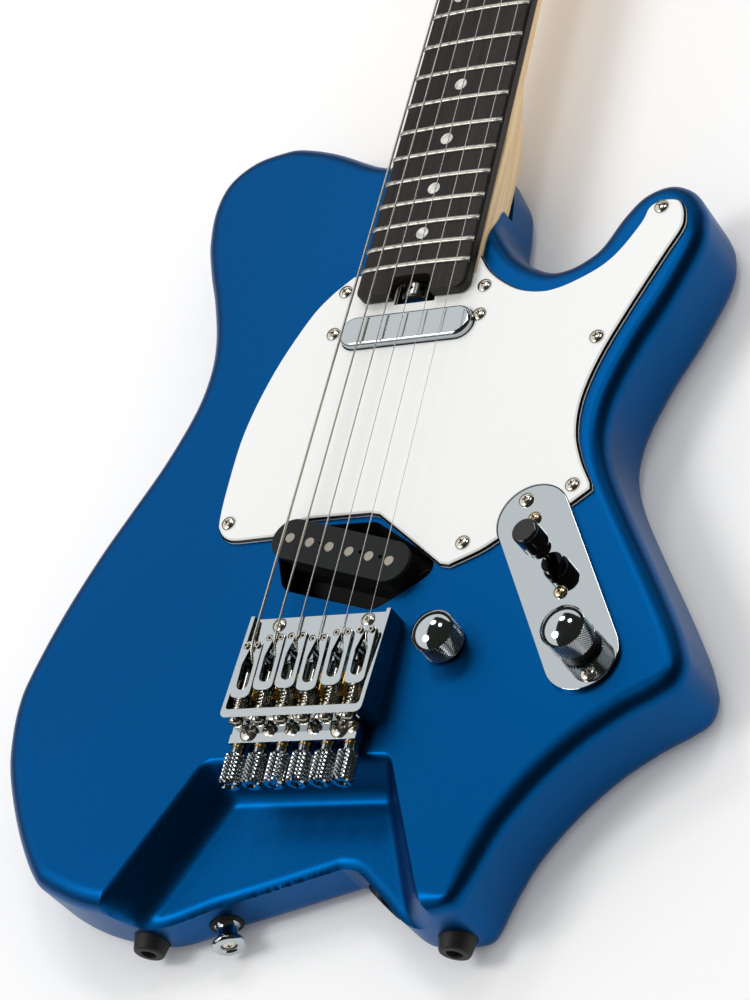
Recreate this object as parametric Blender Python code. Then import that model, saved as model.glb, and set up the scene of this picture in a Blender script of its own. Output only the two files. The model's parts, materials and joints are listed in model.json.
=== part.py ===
"""Headless electric guitar, lying on its back.

X points to the treble side, Y to the nut, Z out of the face. The origin is on the flat back, on the
centreline, under the nominal bridge line, from which the scale length is measured.
"""

import math

import bmesh
import bpy
from mathutils import Matrix, Vector

MM = 0.001

# Clearance between neighbouring pieces
FIT = 0.3 * MM

# How far a cutter reaches past the face that it cuts
OVER = 5 * MM

# Body
BODY_THICK = 41.5 * MM
BODY_EDGE_RADIUS = 6.5 * MM

# Neck, fingerboard and nut
SCALE = 647.7 * MM
FRETS = 22
POCKET_DEPTH = 16 * MM
HEEL_THICK = 18.9 * MM
NECK_THICK = 15.5 * MM
BOARD_THICK = 6 * MM
BOARD_RADIUS = 311 * MM
NUT_HALF = 21 * MM
END_HALF = 27.8 * MM
BOARD_END = 167.5 * MM
BOARD_CORNER = 5 * MM
NOTCH_CORNER = 4 * MM
HEEL_END = 178.5 * MM
HEEL_BLEND = (246 * MM, 286 * MM)
POCKET_FAR = 300 * MM
FRET_WIDE = 2.2 * MM
FRET_HIGH = 1.1 * MM
FRET_SINK = 0.8 * MM
NUT_LONG = 4 * MM
NUT_HIGH = 2.2 * MM

# Headpiece that holds the plain ends of the strings
HEAD_LONG = 22 * MM
HEAD_HIGH = 10.5 * MM
HEAD_GRIP = 10 * MM
HEAD_HOLE_RADIUS = 1.6 * MM
HEAD_SCREW_RADIUS = 1.8 * MM
HEAD_DROP = 1 * MM

# Strings
NUT_STRING_PITCH = 7.12 * MM
NUT_STRING_RISE = 0.8 * MM
STRING_RADII = (0.58 * MM, 0.46 * MM, 0.33 * MM, 0.22 * MM, 0.18 * MM, 0.15 * MM)
STRING_LIFT = 0.12 * MM
STRING_SHIFT = 0.6 * MM

# Truss rod
ROD_SHIFT = -1 * MM
ROD_RADIUS = 2.5 * MM
ROD_TIP_RADIUS = 2 * MM
WHEEL_RADIUS = 6.5 * MM
WHEEL_LONG = 7.4 * MM
WHEEL_GAP = 0.7 * MM
WHEEL_HOLE_RADIUS = 1.1 * MM
WHEEL_HOLES = 6
NOTCH_WIDE = 20.5 * MM
NOTCH_LONG = 8.7 * MM

# Bridge
BRIDGE_X = -0.9 * MM
STRING_PITCH = 10.7 * MM
BRIDGE_FRONT = 7.2 * MM
BRIDGE_REAR = -42 * MM
BRIDGE_FRONT_HIGH = 10.4 * MM
BRIDGE_REAR_HIGH = 14 * MM
BRIDGE_WALL = 1.8 * MM
BRIDGE_BAR = 3.8 * MM
BRIDGE_LEDGE = 21.5 * MM
BRIDGE_LEDGE_HIGH = 7.6 * MM
BRIDGE_FLOOR = 2 * MM
BRIDGE_CORNER = 3 * MM

# Saddles and their intonation screws
SADDLE_LINES = (-5.8 * MM, -3.0 * MM, -2.8 * MM, -4.5 * MM, -2.3 * MM, -1.5 * MM)
SADDLE_FRONT = 1.6 * MM
SADDLE_LONG = 28.7 * MM
SADDLE_WIDE = 9.8 * MM
SADDLE_THICK = 2 * MM
SADDLE_TOP = 14.8 * MM
SADDLE_CREST = 0.5 * MM
SADDLE_SLOT_WIDE = 4.4 * MM
SADDLE_SLOT = (4.8 * MM, 23.6 * MM)
SADDLE_TAB = 3 * MM
SADDLE_TAB_LOW = 2.6 * MM
SADDLE_LEG_RADIUS = 1.2 * MM
SADDLE_LEG_IN = 2.2 * MM
SADDLE_LEG_BACK = 3 * MM
INTONATION_RISE = 11.2 * MM
INTONATION_RADIUS = 1.1 * MM
INTONATION_HEAD = (3 * MM, 2.6 * MM)
INTONATION_TIP = 20 * MM
BRIDGE_WIDE = 5 * STRING_PITCH + SADDLE_WIDE + 2 * BRIDGE_WALL + 0.5 * MM

# Tuners
TUNER_RISE = 4.6 * MM
TUNER_BLOCK_WIDE = BRIDGE_WIDE - 7 * MM
TUNER_BLOCK_SHIFT = -0.6 * MM
TUNER_BLOCK_LONG = 7.9 * MM
TUNER_BLOCK_HIGH = 7.1 * MM
PULLER_RADIUS = 2.1 * MM
PULLER_FRONT = -29.2 * MM
PULLER_LONG = 4.5 * MM
PULLER_TRAVEL = 8 * MM
PULLER_ROD_RADIUS = 1.2 * MM
TUNER_NECK = (2.3 * MM, 4.6 * MM)
TUNER_KNOB_RADIUS = 4.5 * MM
TUNER_KNOB_LONG = 13.6 * MM
TUNER_SLOT = (1.2 * MM, 1.8 * MM)

# Pickguard and pickups
GUARD_THICK = 2.3 * MM
SCREW_HOLE_RADIUS = 1.5 * MM
NECK_PICKUP_AT = (0.2 * MM, 152 * MM)
NECK_PICKUP_SIZE = (66 * MM, 15.4 * MM)
NECK_PICKUP_HIGH = 6.2 * MM
NECK_PICKUP_DEEP = 8 * MM
NECK_PICKUP_WALL = 0.9 * MM
NECK_PICKUP_PLATE = (78 * MM, 15 * MM, 1.5 * MM)
NECK_ROUT = (84 * MM, 19 * MM, 16 * MM)
BRIDGE_PICKUP_AT = (-2 * MM, 39 * MM)
BRIDGE_PICKUP_TURN = math.radians(-16)
BOBBIN_SIZE = (72.7 * MM, 19.3 * MM)
BOBBIN_HIGH = 7.3 * MM
BOBBIN_FLANGE = 2.4 * MM
COIL_INSET = 2 * MM
COIL_DEEP = 7 * MM
POLE_PITCH = 10.85 * MM
POLE_RADIUS = 2.4 * MM
POLE_RISE = 0.35 * MM
BRIDGE_ROUT_DEEP = 17 * MM

# Controls
PLATE_AT = (102 * MM, 18 * MM)
PLATE_TURN = math.radians(-61.1)
PLATE_SIZE = (105 * MM, 32.3 * MM)
PLATE_THICK = 1.8 * MM
PLATE_ROUT = (PLATE_SIZE[0] - 13 * MM, PLATE_SIZE[1] - 5.3 * MM, 34 * MM)
SWITCH_SLIDE = 36.5 * MM - PLATE_SIZE[0] / 2
SWITCH_SLOT = (30 * MM, 3 * MM)
SWITCH_BODY = (44 * MM, 13 * MM, 20 * MM)
LEVER_THICK = 1.6 * MM
LEVER_WIDE = 5 * MM
LEVER_TOP = 17.5 * MM
LEVER_PIVOT = -8 * MM
TIP_RADIUS = 5.75 * MM
TIP_FOOT_RADIUS = 4.75 * MM
TIP_FOOT = 6.7 * MM
TIP_STEP = 3.8 * MM
TIP_TOP = 22.1 * MM
VOLUME_SLIDE = PLATE_SIZE[0] / 2 - 21 * MM
TONE_AT = (55.5 * MM, -5.2 * MM)
KNOB_RADIUS = 9.5 * MM
KNOB_HIGH = 14.8 * MM
KNOB_DOME = 3.6 * MM
VOLUME_GAP = 3.1 * MM
TONE_GAP = 0.8 * MM
POT_RADIUS = 11.5 * MM
POT_DEEP = 10 * MM
SHAFT_RADIUS = 3 * MM
SHAFT_UP = 10 * MM
BUSHING_RADIUS = 3.7 * MM
TOP_WALL = 6 * MM
TONE_ROUT_RADIUS = 15 * MM
COVER_RADIUS = 21 * MM
COVER_THICK = 2 * MM

# Tail recess behind the tuners
RECESS_DEEP = 16.2 * MM
RECESS_ROUND = 5 * MM

# Feet, strap buttons, jack and neck plate
FOOT_RADII = (7.6 * MM, 6.2 * MM)
FOOT_LONG = 6.2 * MM
FOOT_SINK = 2.2 * MM
FOOT_BASS_RISE = 12 * MM
FOOT_TREBLE_RISE = 14 * MM
FOOT_SCREW_RADIUS = 3 * MM
BUTTON_RADII = (7 * MM, 4.3 * MM, 7.1 * MM)
BUTTON_LONG = 11.4 * MM
BUTTON_WASHER = 2.4 * MM
BUTTON_SINK = 1.5 * MM
TAIL_BUTTON_RISE = 10.5 * MM
UPPER_BUTTON_RISE = 9.5 * MM
JACK_CUP_RADIUS = 9.5 * MM
JACK_CUP_HIGH = 1.7 * MM
JACK_CUP_SINK = 1.6 * MM
JACK_RISE = 12.7 * MM
JACK_RADIUS = 6 * MM
JACK_BORE_RADIUS = 3.6 * MM
JACK_LONG = 24 * MM
NECK_PLATE_SIZE = (42 * MM, 34 * MM, 2 * MM)
NECK_PLATE_Y = 207 * MM
NECK_BOLT_SPACING = (NECK_PLATE_SIZE[0] - 12 * MM, NECK_PLATE_SIZE[1] - 12 * MM)
NECK_BOLT_RADIUS = 2 * MM
NECK_BOLT_LONG = 36 * MM

TOP = BODY_THICK
POCKET_FLOOR = TOP - POCKET_DEPTH
HEEL_BOTTOM = POCKET_FLOOR + FIT
BOARD_BOTTOM = HEEL_BOTTOM + HEEL_THICK + FIT
BOARD_TOP = BOARD_BOTTOM + BOARD_THICK
FRET_TOP = BOARD_TOP + FRET_HIGH
BRIDGE_BASE_Z = TOP + FIT

# Outline of the body, in millimetres, from the treble side of the neck round the cutaway and the tail.
BODY_POINTS = (
    (27, 222), (28.4, 209.8), (32.7, 202.4), (38.2, 195), (44.8, 188.4), (53.6, 182.5), (63, 178.9),
    (70.7, 179.6), (77.5, 182.9), (83.8, 188.6), (90.7, 202), (99.2, 212.8), (111, 217.2), (121.2, 213.8),
    (127.8, 206), (131.6, 196.7), (132, 182.7), (123.4, 156.5), (114.7, 136.4), (108.4, 117.3),
    (106, 103.9), (107, 89), (113.3, 72.6), (127, 49), (142, 24.8), (154.9, 2.9), (159.8, -7), (163, -16.9),
    (161.1, -26), (153.2, -32.2), (142.1, -38.5), (126.4, -50), (111.6, -65.4), (99.6, -82.7), (93.7, -96),
    (88.1, -112.3), (84.3, -118.6), (76.1, -121), (66, -121.5), (58.3, -120.3), (50.5, -115.6),
    (43.6, -109.2), (35.8, -102.7), (30.8, -98.5), (26.5, -96), (20.4, -95.2), (14, -97), (-22.1, -108),
    (-35, -111.8), (-51.5, -118.1), (-60.6, -120.4), (-70.3, -120.4), (-93.4, -116.7), (-113, -109.4),
    (-121.7, -103.2), (-132.5, -88.7), (-142.5, -71.5), (-150.6, -53.8), (-154.6, -38.9), (-156.5, -23.4),
    (-155.2, -8.6), (-147.6, 20.5), (-136.6, 50.7), (-125.7, 74.8), (-115.3, 98), (-107, 123.9),
    (-105, 143.8), (-107.3, 161.7), (-114.2, 183.3), (-121.4, 200.9), (-127, 218), (-129.3, 237.5),
    (-125.2, 253.4), (-113, 264.3), (-96.3, 268.6), (-85.6, 268.2), (-67, 262.7), (-42, 251.6), (-28, 250),
    (-14, 255), (0, 257.5), (11, 254.5), (18.8, 244.4), (24.6, 234.5),
)

# Outline of the pickguard, in millimetres, split into the runs between its corners.
GUARD_RUNS = (
    ((28.2, 188.2), (35.2, 178.8), (44.3, 171.6), (52.8, 167.2), (61.8, 165.3), (69.1, 165.7),
     (77.6, 168.5), (88.5, 174.3), (96, 181.8), (103.5, 194.6), (105.6, 201.6), (109.4, 204.8),
     (113.8, 205.7), (119.4, 204.6), (122.8, 200.7), (124.6, 194.6), (124.2, 188.1), (118.2, 174.8),
     (107.4, 149.6), (99.1, 127.6), (94.8, 107.7), (95.7, 90.9), (100.7, 77.1), (107.4, 65.4)),
    ((108.2, 62), (100.4, 55.6)),
    ((70.2, 41.3), (62.9, 36.4), (49.5, 30.4)),
    ((45, 31.2), (9.6, 57.6)),
    ((4.8, 58.7), (-25.8, 58.4)),
    ((-30.4, 56.8), (-41.1, 50.6)),
    ((-59, 50), (-63.4, 50.5), (-67.2, 52.4), (-70.4, 55.8), (-72.4, 60.9), (-73.3, 78.7),
     (-72.3, 107.2), (-65.4, 137.2), (-54.2, 164), (-45.6, 176.2), (-35.6, 185.4)),
)
GUARD_SCREWS = (
    (-37.3, 176.2), (34.2, 170.6), (112.7, 200.8), (95.3, 136.9), (99.5, 64.4), (54.1, 40.7),
    (-65.9, 59.4), (-37.9, 153.9), (35.1, 155.6),
)

# Outline of the hollow that holds the slanted pickup, in millimetres.
PICKUP_ROUT = (
    (-38, 46), (-36.8, 40.9), (-31.5, 27.5), (-28, 24.8), (16, 13), (20, 14.4), (39.5, 27.6), (41.4, 31.5),
    (40, 36), (8, 56), (-25, 56.4), (-36, 51),
)

# Corners of the tail recess, in millimetres: its floor, and its rim where it meets the face.
RECESS_FLOOR = ((-39.2, -64.5), (36.8, -65), (68.3, -141.5), (-78.2, -141.5))
RECESS_RIM = ((-46.5, -54), (41.5, -54.8), (78.6, -138), (-92, -138))

BUTTON_TAIL_AT = (-37.7 * MM, -112.2 * MM)
BUTTON_TAIL_TURN = math.radians(-68.6)
BUTTON_UPPER_AT = (-87.3 * MM, 268.3 * MM)
BUTTON_UPPER_TURN = math.radians(89)
JACK_AT = (37.4 * MM, -104 * MM)
JACK_TURN = math.radians(-129.7)
FOOT_BASS_AT = (-71.2 * MM, -120.4 * MM)
FOOT_TREBLE_AT = (74.4 * MM, -121.2 * MM)


def clear_scene():
    for obj in list(bpy.data.objects):
        bpy.data.objects.remove(obj, do_unlink=True)


def material(name, colour, metallic, roughness):
    """A plain finish with the colour, shine and metal of the real piece."""
    mat = bpy.data.materials.new(name)
    mat.use_nodes = True
    shader = mat.node_tree.nodes["Principled BSDF"]
    shader.inputs["Base Color"].default_value = (*colour, 1)
    shader.inputs["Metallic"].default_value = metallic
    shader.inputs["Roughness"].default_value = roughness
    mat.diffuse_color = (*colour, 1)
    return mat


def solid(name, bm, mat, at=(0, 0, 0), smooth=30):
    """An object made of the given mesh, with its origin at a joint axis or a natural point."""
    bmesh.ops.remove_doubles(bm, verts=bm.verts, dist=1e-7)
    bmesh.ops.recalc_face_normals(bm, faces=bm.faces)
    mesh = bpy.data.meshes.new(name)
    bmesh.ops.translate(bm, verts=bm.verts, vec=-Vector(at))
    bm.to_mesh(mesh)
    bm.free()
    mesh.materials.append(mat)
    mesh.shade_smooth()
    mesh.set_sharp_from_angle(angle=math.radians(smooth))
    obj = bpy.data.objects.new(name, mesh)
    obj.location = at
    bpy.context.scene.collection.objects.link(obj)
    return obj


def boolean(obj, bm, operation="DIFFERENCE"):
    """Cuts or joins a mesh with the object, keeping the cutter as a hidden guide."""
    tool = solid(f"{obj.name}_tool_{len(obj.modifiers)}", bm, obj.data.materials[0])
    tool.hide_render = True
    tool.display_type = "WIRE"
    tool.hide_set(True)
    step = obj.modifiers.new(tool.name, "BOOLEAN")
    step.operation = operation
    step.solver = "EXACT"
    step.object = tool


def smooth_run(points, steps, closed):
    """Points along a Catmull-Rom curve through the given points."""
    count = len(points)
    spans = count if closed else count - 1
    out = []
    for i in range(spans):
        if closed:
            a, b, c, d = (Vector(points[(i + k) % count]) for k in (-1, 0, 1, 2))
        else:
            b, c = Vector(points[i]), Vector(points[i + 1])
            a = Vector(points[i - 1]) if i else 2 * b - c
            d = Vector(points[i + 2]) if i + 2 < count else 2 * c - b
        for s in range(steps):
            t = s / steps
            out.append(
                0.5 * (2 * b + (c - a) * t + (2 * a - 5 * b + 4 * c - d) * t * t
                       + (3 * b - a - 3 * c + d) * t ** 3)
            )
    if not closed:
        out.append(Vector(points[-1]))
    return out


def stadium(size, centre=(0, 0), turn=0, steps=10):
    """Outline of a bar with round ends, turned about its centre."""
    half = size[0] / 2 - size[1] / 2
    radius = size[1] / 2
    points = []
    for side in (1, -1):
        for k in range(steps + 1):
            a = math.pi * (k / steps - 0.5) + (0 if side == 1 else math.pi)
            points.append(Vector((side * half + radius * math.cos(a), radius * math.sin(a))))
    spin = Matrix.Rotation(turn, 2)
    return [spin @ p + Vector(centre) for p in points]


def round_rectangle(size, radius, centre=(0, 0), steps=4):
    points = []
    for k, (sx, sy) in enumerate(((1, 1), (-1, 1), (-1, -1), (1, -1))):
        cx = centre[0] + sx * (size[0] / 2 - radius)
        cy = centre[1] + sy * (size[1] / 2 - radius)
        for s in range(steps + 1):
            a = math.pi / 2 * (k + s / steps)
            points.append(Vector((cx + radius * math.cos(a), cy + radius * math.sin(a))))
    return points


def prism(outline, low, high, rim=0.0, segments=2, both=False):
    """An outline raised from one height to another, with its rims rounded where a radius is given."""
    bm = bmesh.new()
    base = bm.faces.new([bm.verts.new((p[0], p[1], low)) for p in outline])
    made = bmesh.ops.extrude_face_region(bm, geom=[base])
    verts = [g for g in made["geom"] if isinstance(g, bmesh.types.BMVert)]
    bmesh.ops.translate(bm, verts=verts, vec=(0, 0, high - low))
    bmesh.ops.recalc_face_normals(bm, faces=bm.faces)
    if rim:
        levels = (low, high) if both else (high,)
        edges = [
            e for e in bm.edges
            if any(all(abs(v.co.z - level) < 1e-7 for v in e.verts) for level in levels)
        ]
        bmesh.ops.bevel(bm, geom=edges, offset=rim, segments=segments, profile=0.5, affect="EDGES",
                        material=-1, clamp_overlap=True)
    return bm


def box(low, high):
    corners = ((low[0], low[1]), (high[0], low[1]), (high[0], high[1]), (low[0], high[1]))
    return prism(corners, low[2], high[2])


def turned(profile, sides=24):
    """A solid turned about Z. The profile lists (radius, height), from one end to the other."""
    bm = bmesh.new()
    rings = []
    for radius, height in profile:
        if radius <= 0:
            rings.append([bm.verts.new((0, 0, height))])
            continue
        rings.append([
            bm.verts.new((radius * math.cos(a), radius * math.sin(a), height))
            for a in (2 * math.pi * k / sides for k in range(sides))
        ])
    for low, high in zip(rings, rings[1:]):
        for k in range(sides):
            n = (k + 1) % sides
            if len(low) == 1:
                bm.faces.new((low[0], high[k], high[n]))
            elif len(high) == 1:
                bm.faces.new((low[k], low[n], high[0]))
            else:
                bm.faces.new((low[k], low[n], high[n], high[k]))
    return bm


def rod(radius, long, sides=24):
    return turned(((0, 0), (radius, 0), (radius, long), (0, long)), sides)


def laid(bm, at, direction=(0, 0, 1)):
    """Stands a shape made about Z at a point, with its Z along the given direction."""
    turn = Vector((0, 0, 1)).rotation_difference(Vector(direction).normalized()).to_matrix().to_4x4()
    bm.transform(Matrix.Translation(Vector(at)) @ turn)
    return bm


def merged(*parts):
    """One mesh that holds several separate cutters."""
    out = bmesh.new()
    for bm in parts:
        mesh = bpy.data.meshes.new("merge")
        bm.to_mesh(mesh)
        bm.free()
        out.from_mesh(mesh)
        bpy.data.meshes.remove(mesh)
    return out


def loft(sections):
    """A solid through closed sections that have the same number of points."""
    bm = bmesh.new()
    rings = [[bm.verts.new(p) for p in section] for section in sections]
    bm.faces.new(list(reversed(rings[0])))
    bm.faces.new(rings[-1])
    count = len(rings[0])
    for low, high in zip(rings, rings[1:]):
        for k in range(count):
            n = (k + 1) % count
            bm.faces.new((low[k], low[n], high[n], high[k]))
    return bm


def half_width(y):
    """Half the fingerboard's width at a distance from the bridge line."""
    return NUT_HALF + (END_HALF - NUT_HALF) * (SCALE - y) / (SCALE - BOARD_END)


def crown(x, radius=BOARD_RADIUS):
    """How far the fingerboard's arched top lies below its middle."""
    return radius - math.sqrt(radius * radius - x * x)


def string_x(i, y):
    """Sideways place of a string, counted from the bass side, at a distance from the bridge line."""
    share = y / SCALE
    at_bridge = BRIDGE_X + (i - 2.5) * STRING_PITCH
    return at_bridge + ((i - 2.5) * NUT_STRING_PITCH - at_bridge) * share


def saddle_top(i):
    """Height of a saddle's plate, lower at the outer strings, as the fingerboard's arch is."""
    return TOP + SADDLE_TOP - crown((i - 2.5) * STRING_PITCH)


def in_mm(points):
    return [(x * MM, y * MM) for x, y in points]


def along(turn):
    return Vector((math.cos(turn), math.sin(turn), 0))


def on_plate(slide, z, side=0.0):
    """A point on the control plate, measured along its length and across it."""
    a = along(PLATE_TURN)
    return Vector((PLATE_AT[0] + a.x * slide - a.y * side, PLATE_AT[1] + a.y * slide + a.x * side, z))


def recess_cutter():
    """The scoop behind the tuners: a flat floor and sloping walls, open at the tail."""
    above = 6 * MM
    floor = [Vector((x * MM, y * MM, TOP - RECESS_DEEP)) for x, y in RECESS_FLOOR]
    rim = [Vector((x * MM, y * MM, TOP)) for x, y in RECESS_RIM]
    top = [r + (r - f) * (above / RECESS_DEEP) for f, r in zip(floor, rim)]
    bm = loft([floor, top])
    bm.edges.ensure_lookup_table()
    tail = RECESS_FLOOR[2][1] * MM
    keep = [
        e for e in bm.edges
        if min(v.co.z for v in e.verts) < TOP - RECESS_DEEP / 2
        and not all(abs(v.co.y - tail) < 20 * MM for v in e.verts)
    ]
    bmesh.ops.bevel(bm, geom=keep, offset=RECESS_ROUND, segments=3, profile=0.5, affect="EDGES",
                    material=-1)
    return bm


def make_body(blue):
    outline = smooth_run(in_mm(BODY_POINTS), 2, True)
    body = solid("body", prism(outline, 0, TOP, BODY_EDGE_RADIUS, 2, True), blue)
    boolean(body, recess_cutter())
    neck_side = half_width(HEEL_END) + FIT
    far_side = half_width(POCKET_FAR) + FIT
    pocket = prism(
        ((-neck_side, HEEL_END - FIT), (neck_side, HEEL_END - FIT), (far_side, POCKET_FAR),
         (-far_side, POCKET_FAR)),
        POCKET_FLOOR, TOP + 2 * OVER)
    boolean(body, pocket)
    wheel_floor = rod_height() - WHEEL_RADIUS - 1.5 * MM
    boolean(body, box((-NOTCH_WIDE / 2, BOARD_END, wheel_floor),
                      (NOTCH_WIDE / 2, HEEL_END + OVER, TOP + 2 * OVER)))
    boolean(body, prism(stadium(NECK_ROUT[:2], NECK_PICKUP_AT), TOP - NECK_ROUT[2], TOP + 2 * OVER))
    boolean(body, prism(in_mm(PICKUP_ROUT), TOP - BRIDGE_ROUT_DEEP, TOP + 2 * OVER))
    boolean(body, prism(stadium(PLATE_ROUT[:2], PLATE_AT, PLATE_TURN), TOP - PLATE_ROUT[2], TOP + 2 * OVER))
    tone = laid(rod(TONE_ROUT_RADIUS, TOP - TOP_WALL + 5 * MM), (*TONE_AT, -5 * MM))
    boolean(body, tone)
    cover_seat = laid(rod(COVER_RADIUS + FIT, COVER_THICK + FIT + 5 * MM, 32), (*TONE_AT, -5 * MM))
    boolean(body, cover_seat)
    bushing = BUSHING_RADIUS + FIT
    boolean(body, laid(rod(bushing, TOP, 16),
                       (*TONE_AT, TOP / 2)))
    boolean(body, foot_seats())
    jack = along(JACK_TURN)
    seat = JACK_RADIUS + FIT
    deep = JACK_LONG + 3 * MM
    start = Vector((*JACK_AT, JACK_RISE)) + jack * 8 * MM
    boolean(body, laid(rod(seat, deep + 8 * MM, 20), start, -jack))
    bolt = NECK_BOLT_RADIUS + FIT
    boolean(body, merged(*(
        laid(rod(bolt, TOP, 12), (x, y, -2 * MM))
        for x, y in neck_bolts())))
    boolean(body, prism(round_rectangle([s + 2 * FIT for s in NECK_PLATE_SIZE[:2]], 4.3 * MM,
                                        (0, NECK_PLATE_Y)), -5 * MM, NECK_PLATE_SIZE[2] + FIT))
    cup = JACK_CUP_RADIUS + FIT
    start = Vector((*JACK_AT, JACK_RISE)) - jack * JACK_CUP_SINK
    boolean(body, laid(rod(cup, 20 * MM, 24), start, jack))


def foot_seats():
    """Shallow seats that the feet and strap buttons are screwed into, flat across the curved wall."""
    parts = []
    for at, rise in ((FOOT_BASS_AT, FOOT_BASS_RISE), (FOOT_TREBLE_AT, FOOT_TREBLE_RISE)):
        radius = FOOT_RADII[0] + FIT
        parts.append(laid(rod(radius, 15 * MM, 24),
                          (at[0], at[1] + FOOT_SINK, rise), (0, -1, 0)))
    for at, turn, rise in button_places():
        out = along(turn)
        radius = BUTTON_RADII[0] + FIT
        base = Vector((*at, rise)) - out * BUTTON_SINK
        parts.append(laid(rod(radius, 15 * MM, 24), base, out))
    return merged(*parts)


def button_places():
    return (
        (BUTTON_TAIL_AT, BUTTON_TAIL_TURN, TAIL_BUTTON_RISE),
        (BUTTON_UPPER_AT, BUTTON_UPPER_TURN, UPPER_BUTTON_RISE),
    )


def neck_bolts():
    dx, dy = (s / 2 for s in NECK_BOLT_SPACING)
    return [(sx * dx, NECK_PLATE_Y + sy * dy) for sx in (-1, 1) for sy in (-1, 1)]


def rod_height():
    """The truss rod's axis, low enough for its wheel to lie under the strings and the fingerboard's top."""
    return BOARD_BOTTOM - ROD_RADIUS - 1.4 * MM


def neck_section(y, depth, square):
    """One section of the neck: a flat top and a back that runs from square at the heel to round."""
    half = half_width(y)
    count = 14
    points = []
    for k in range(count + 1):
        a = math.pi * k / count
        power = 2 / (2 + 10 * square)
        x = -half * math.copysign(abs(math.cos(a)) ** power, math.cos(a))
        z = -depth * abs(math.sin(a)) ** power
        points.append((x, y, HEEL_BOTTOM + HEEL_THICK + z))
    return points


def make_neck(maple):
    head_end = SCALE + NUT_LONG + HEAD_LONG + 3 * MM
    start, end = HEEL_BLEND
    slim = NECK_THICK - 1 * MM
    stations = (
        (HEEL_END, HEEL_THICK, 1), (start, HEEL_THICK, 1), (start + 12 * MM, HEEL_THICK - 0.3 * MM, 0.5),
        (start + 26 * MM, NECK_THICK + 1.5 * MM, 0.15), (end, NECK_THICK + 0.6 * MM, 0.03),
        (end + 60 * MM, NECK_THICK, 0), (SCALE - 30 * MM, slim, 0), (SCALE, slim, 0.1), (head_end, slim, 0.4),
    )
    neck = solid("neck", loft([neck_section(y, depth, square) for y, depth, square in stations]), maple)
    side = ROD_RADIUS + FIT
    boolean(neck, box((ROD_SHIFT - side, HEEL_END - OVER, rod_height() - side),
                      (ROD_SHIFT + side, SCALE - 20 * MM, BOARD_BOTTOM + OVER)))
    bolt = NECK_BOLT_RADIUS + FIT
    boolean(neck, merged(*(
        laid(rod(bolt, NECK_BOLT_LONG, 12), (x, y, 0.5 * MM))
        for x, y in neck_bolts())))


def board_section(y, half, top, bottom):
    count = 6
    points = [(half, y, bottom), (-half, y, bottom)]
    for k in range(count + 1):
        x = -half + 2 * half * k / count
        points.append((x, y, top - crown(x)))
    return points[::-1]


def make_fingerboard(rosewood):
    stations = [(BOARD_END + BOARD_CORNER * (1 - math.cos(a)), BOARD_CORNER * (1 - math.sin(a)))
                for a in (math.pi / 2 * k / 5 for k in range(6))]
    sections = [board_section(y, half_width(y) - inset, BOARD_TOP, BOARD_BOTTOM) for y, inset in stations]
    sections.append(board_section(SCALE - FIT, half_width(SCALE - FIT), BOARD_TOP, BOARD_BOTTOM))
    board = solid("fingerboard", loft(sections), rosewood)
    notch = round_rectangle((NOTCH_WIDE, 2 * NOTCH_LONG), NOTCH_CORNER, (0, BOARD_END))
    boolean(board, prism(notch, BOARD_BOTTOM - OVER, BOARD_TOP + OVER))
    frets = []
    for n in range(1, FRETS + 1):
        y = SCALE / 2 ** (n / 12)
        half = half_width(y) - 0.4 * MM
        sections = [
            [(x, y + w * FRET_WIDE / 2, BOARD_TOP - crown(x) + rise) for w, rise in (
                (-1, -FRET_SINK), (1, -FRET_SINK), (0.45, FRET_HIGH), (-0.45, FRET_HIGH))]
            for x in (-half + half * k / 3 for k in range(7))
        ]
        frets.append(loft(sections))
    boolean(board, merged(*frets), "UNION")


def make_nut(bone):
    low = HEEL_BOTTOM + HEEL_THICK + FIT
    half = half_width(SCALE)
    sections = [board_section(y, half, BOARD_TOP + NUT_HIGH, low) for y in (SCALE, SCALE + NUT_LONG)]
    nut = solid("nut", loft(sections), bone)
    slots = []
    for i, radius in enumerate(STRING_RADII):
        side = radius + STRING_LIFT
        x = string_x(i, SCALE + NUT_LONG / 2)
        slots.append(box((x - side, SCALE - 3 * MM, nut_string_z(i) - side),
                         (x + side, SCALE + NUT_LONG + 3 * MM, BOARD_TOP + 2 * OVER)))
    boolean(nut, merged(*slots))


def nut_string_z(i):
    """Height of a string's middle at the nut."""
    return FRET_TOP - crown(string_x(i, SCALE)) + NUT_STRING_RISE + STRING_RADII[i]


def make_headpiece(black):
    low = HEEL_BOTTOM + HEEL_THICK + FIT
    near = SCALE + NUT_LONG + FIT
    outline = round_rectangle((2 * half_width(SCALE), HEAD_LONG), 3 * MM, (0, near + HEAD_LONG / 2))
    head = solid("headpiece", prism(outline, low, low + HEAD_HIGH, 1.2 * MM, 2), black)
    holes = []
    for i in range(6):
        x = string_x(i, near + HEAD_GRIP / 2)
        holes.append(laid(rod(HEAD_HOLE_RADIUS, HEAD_GRIP + 5 * MM, 12),
                          (x, near - 5 * MM, nut_string_z(i) - HEAD_DROP / 2), (0, 1, 0)))
        holes.append(laid(rod(HEAD_SCREW_RADIUS, 10 * MM, 6),
                          (x, near + HEAD_LONG * 0.62, low + HEAD_HIGH - 2 * MM)))
    boolean(head, merged(*holes))


def tube(path, radius, sides=6):
    """A round bar through the given points."""
    path = [Vector(p) for p in path]
    sections = []
    for k, point in enumerate(path):
        before = path[max(k - 1, 0)]
        after = path[min(k + 1, len(path) - 1)]
        along_path = (after - before).normalized()
        side = along_path.cross(Vector((0, 0, 1))).normalized()
        up = side.cross(along_path)
        sections.append([
            point + radius * (side * math.cos(a) + up * math.sin(a))
            for a in (2 * math.pi * s / sides for s in range(sides))
        ])
    return loft(sections)


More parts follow.
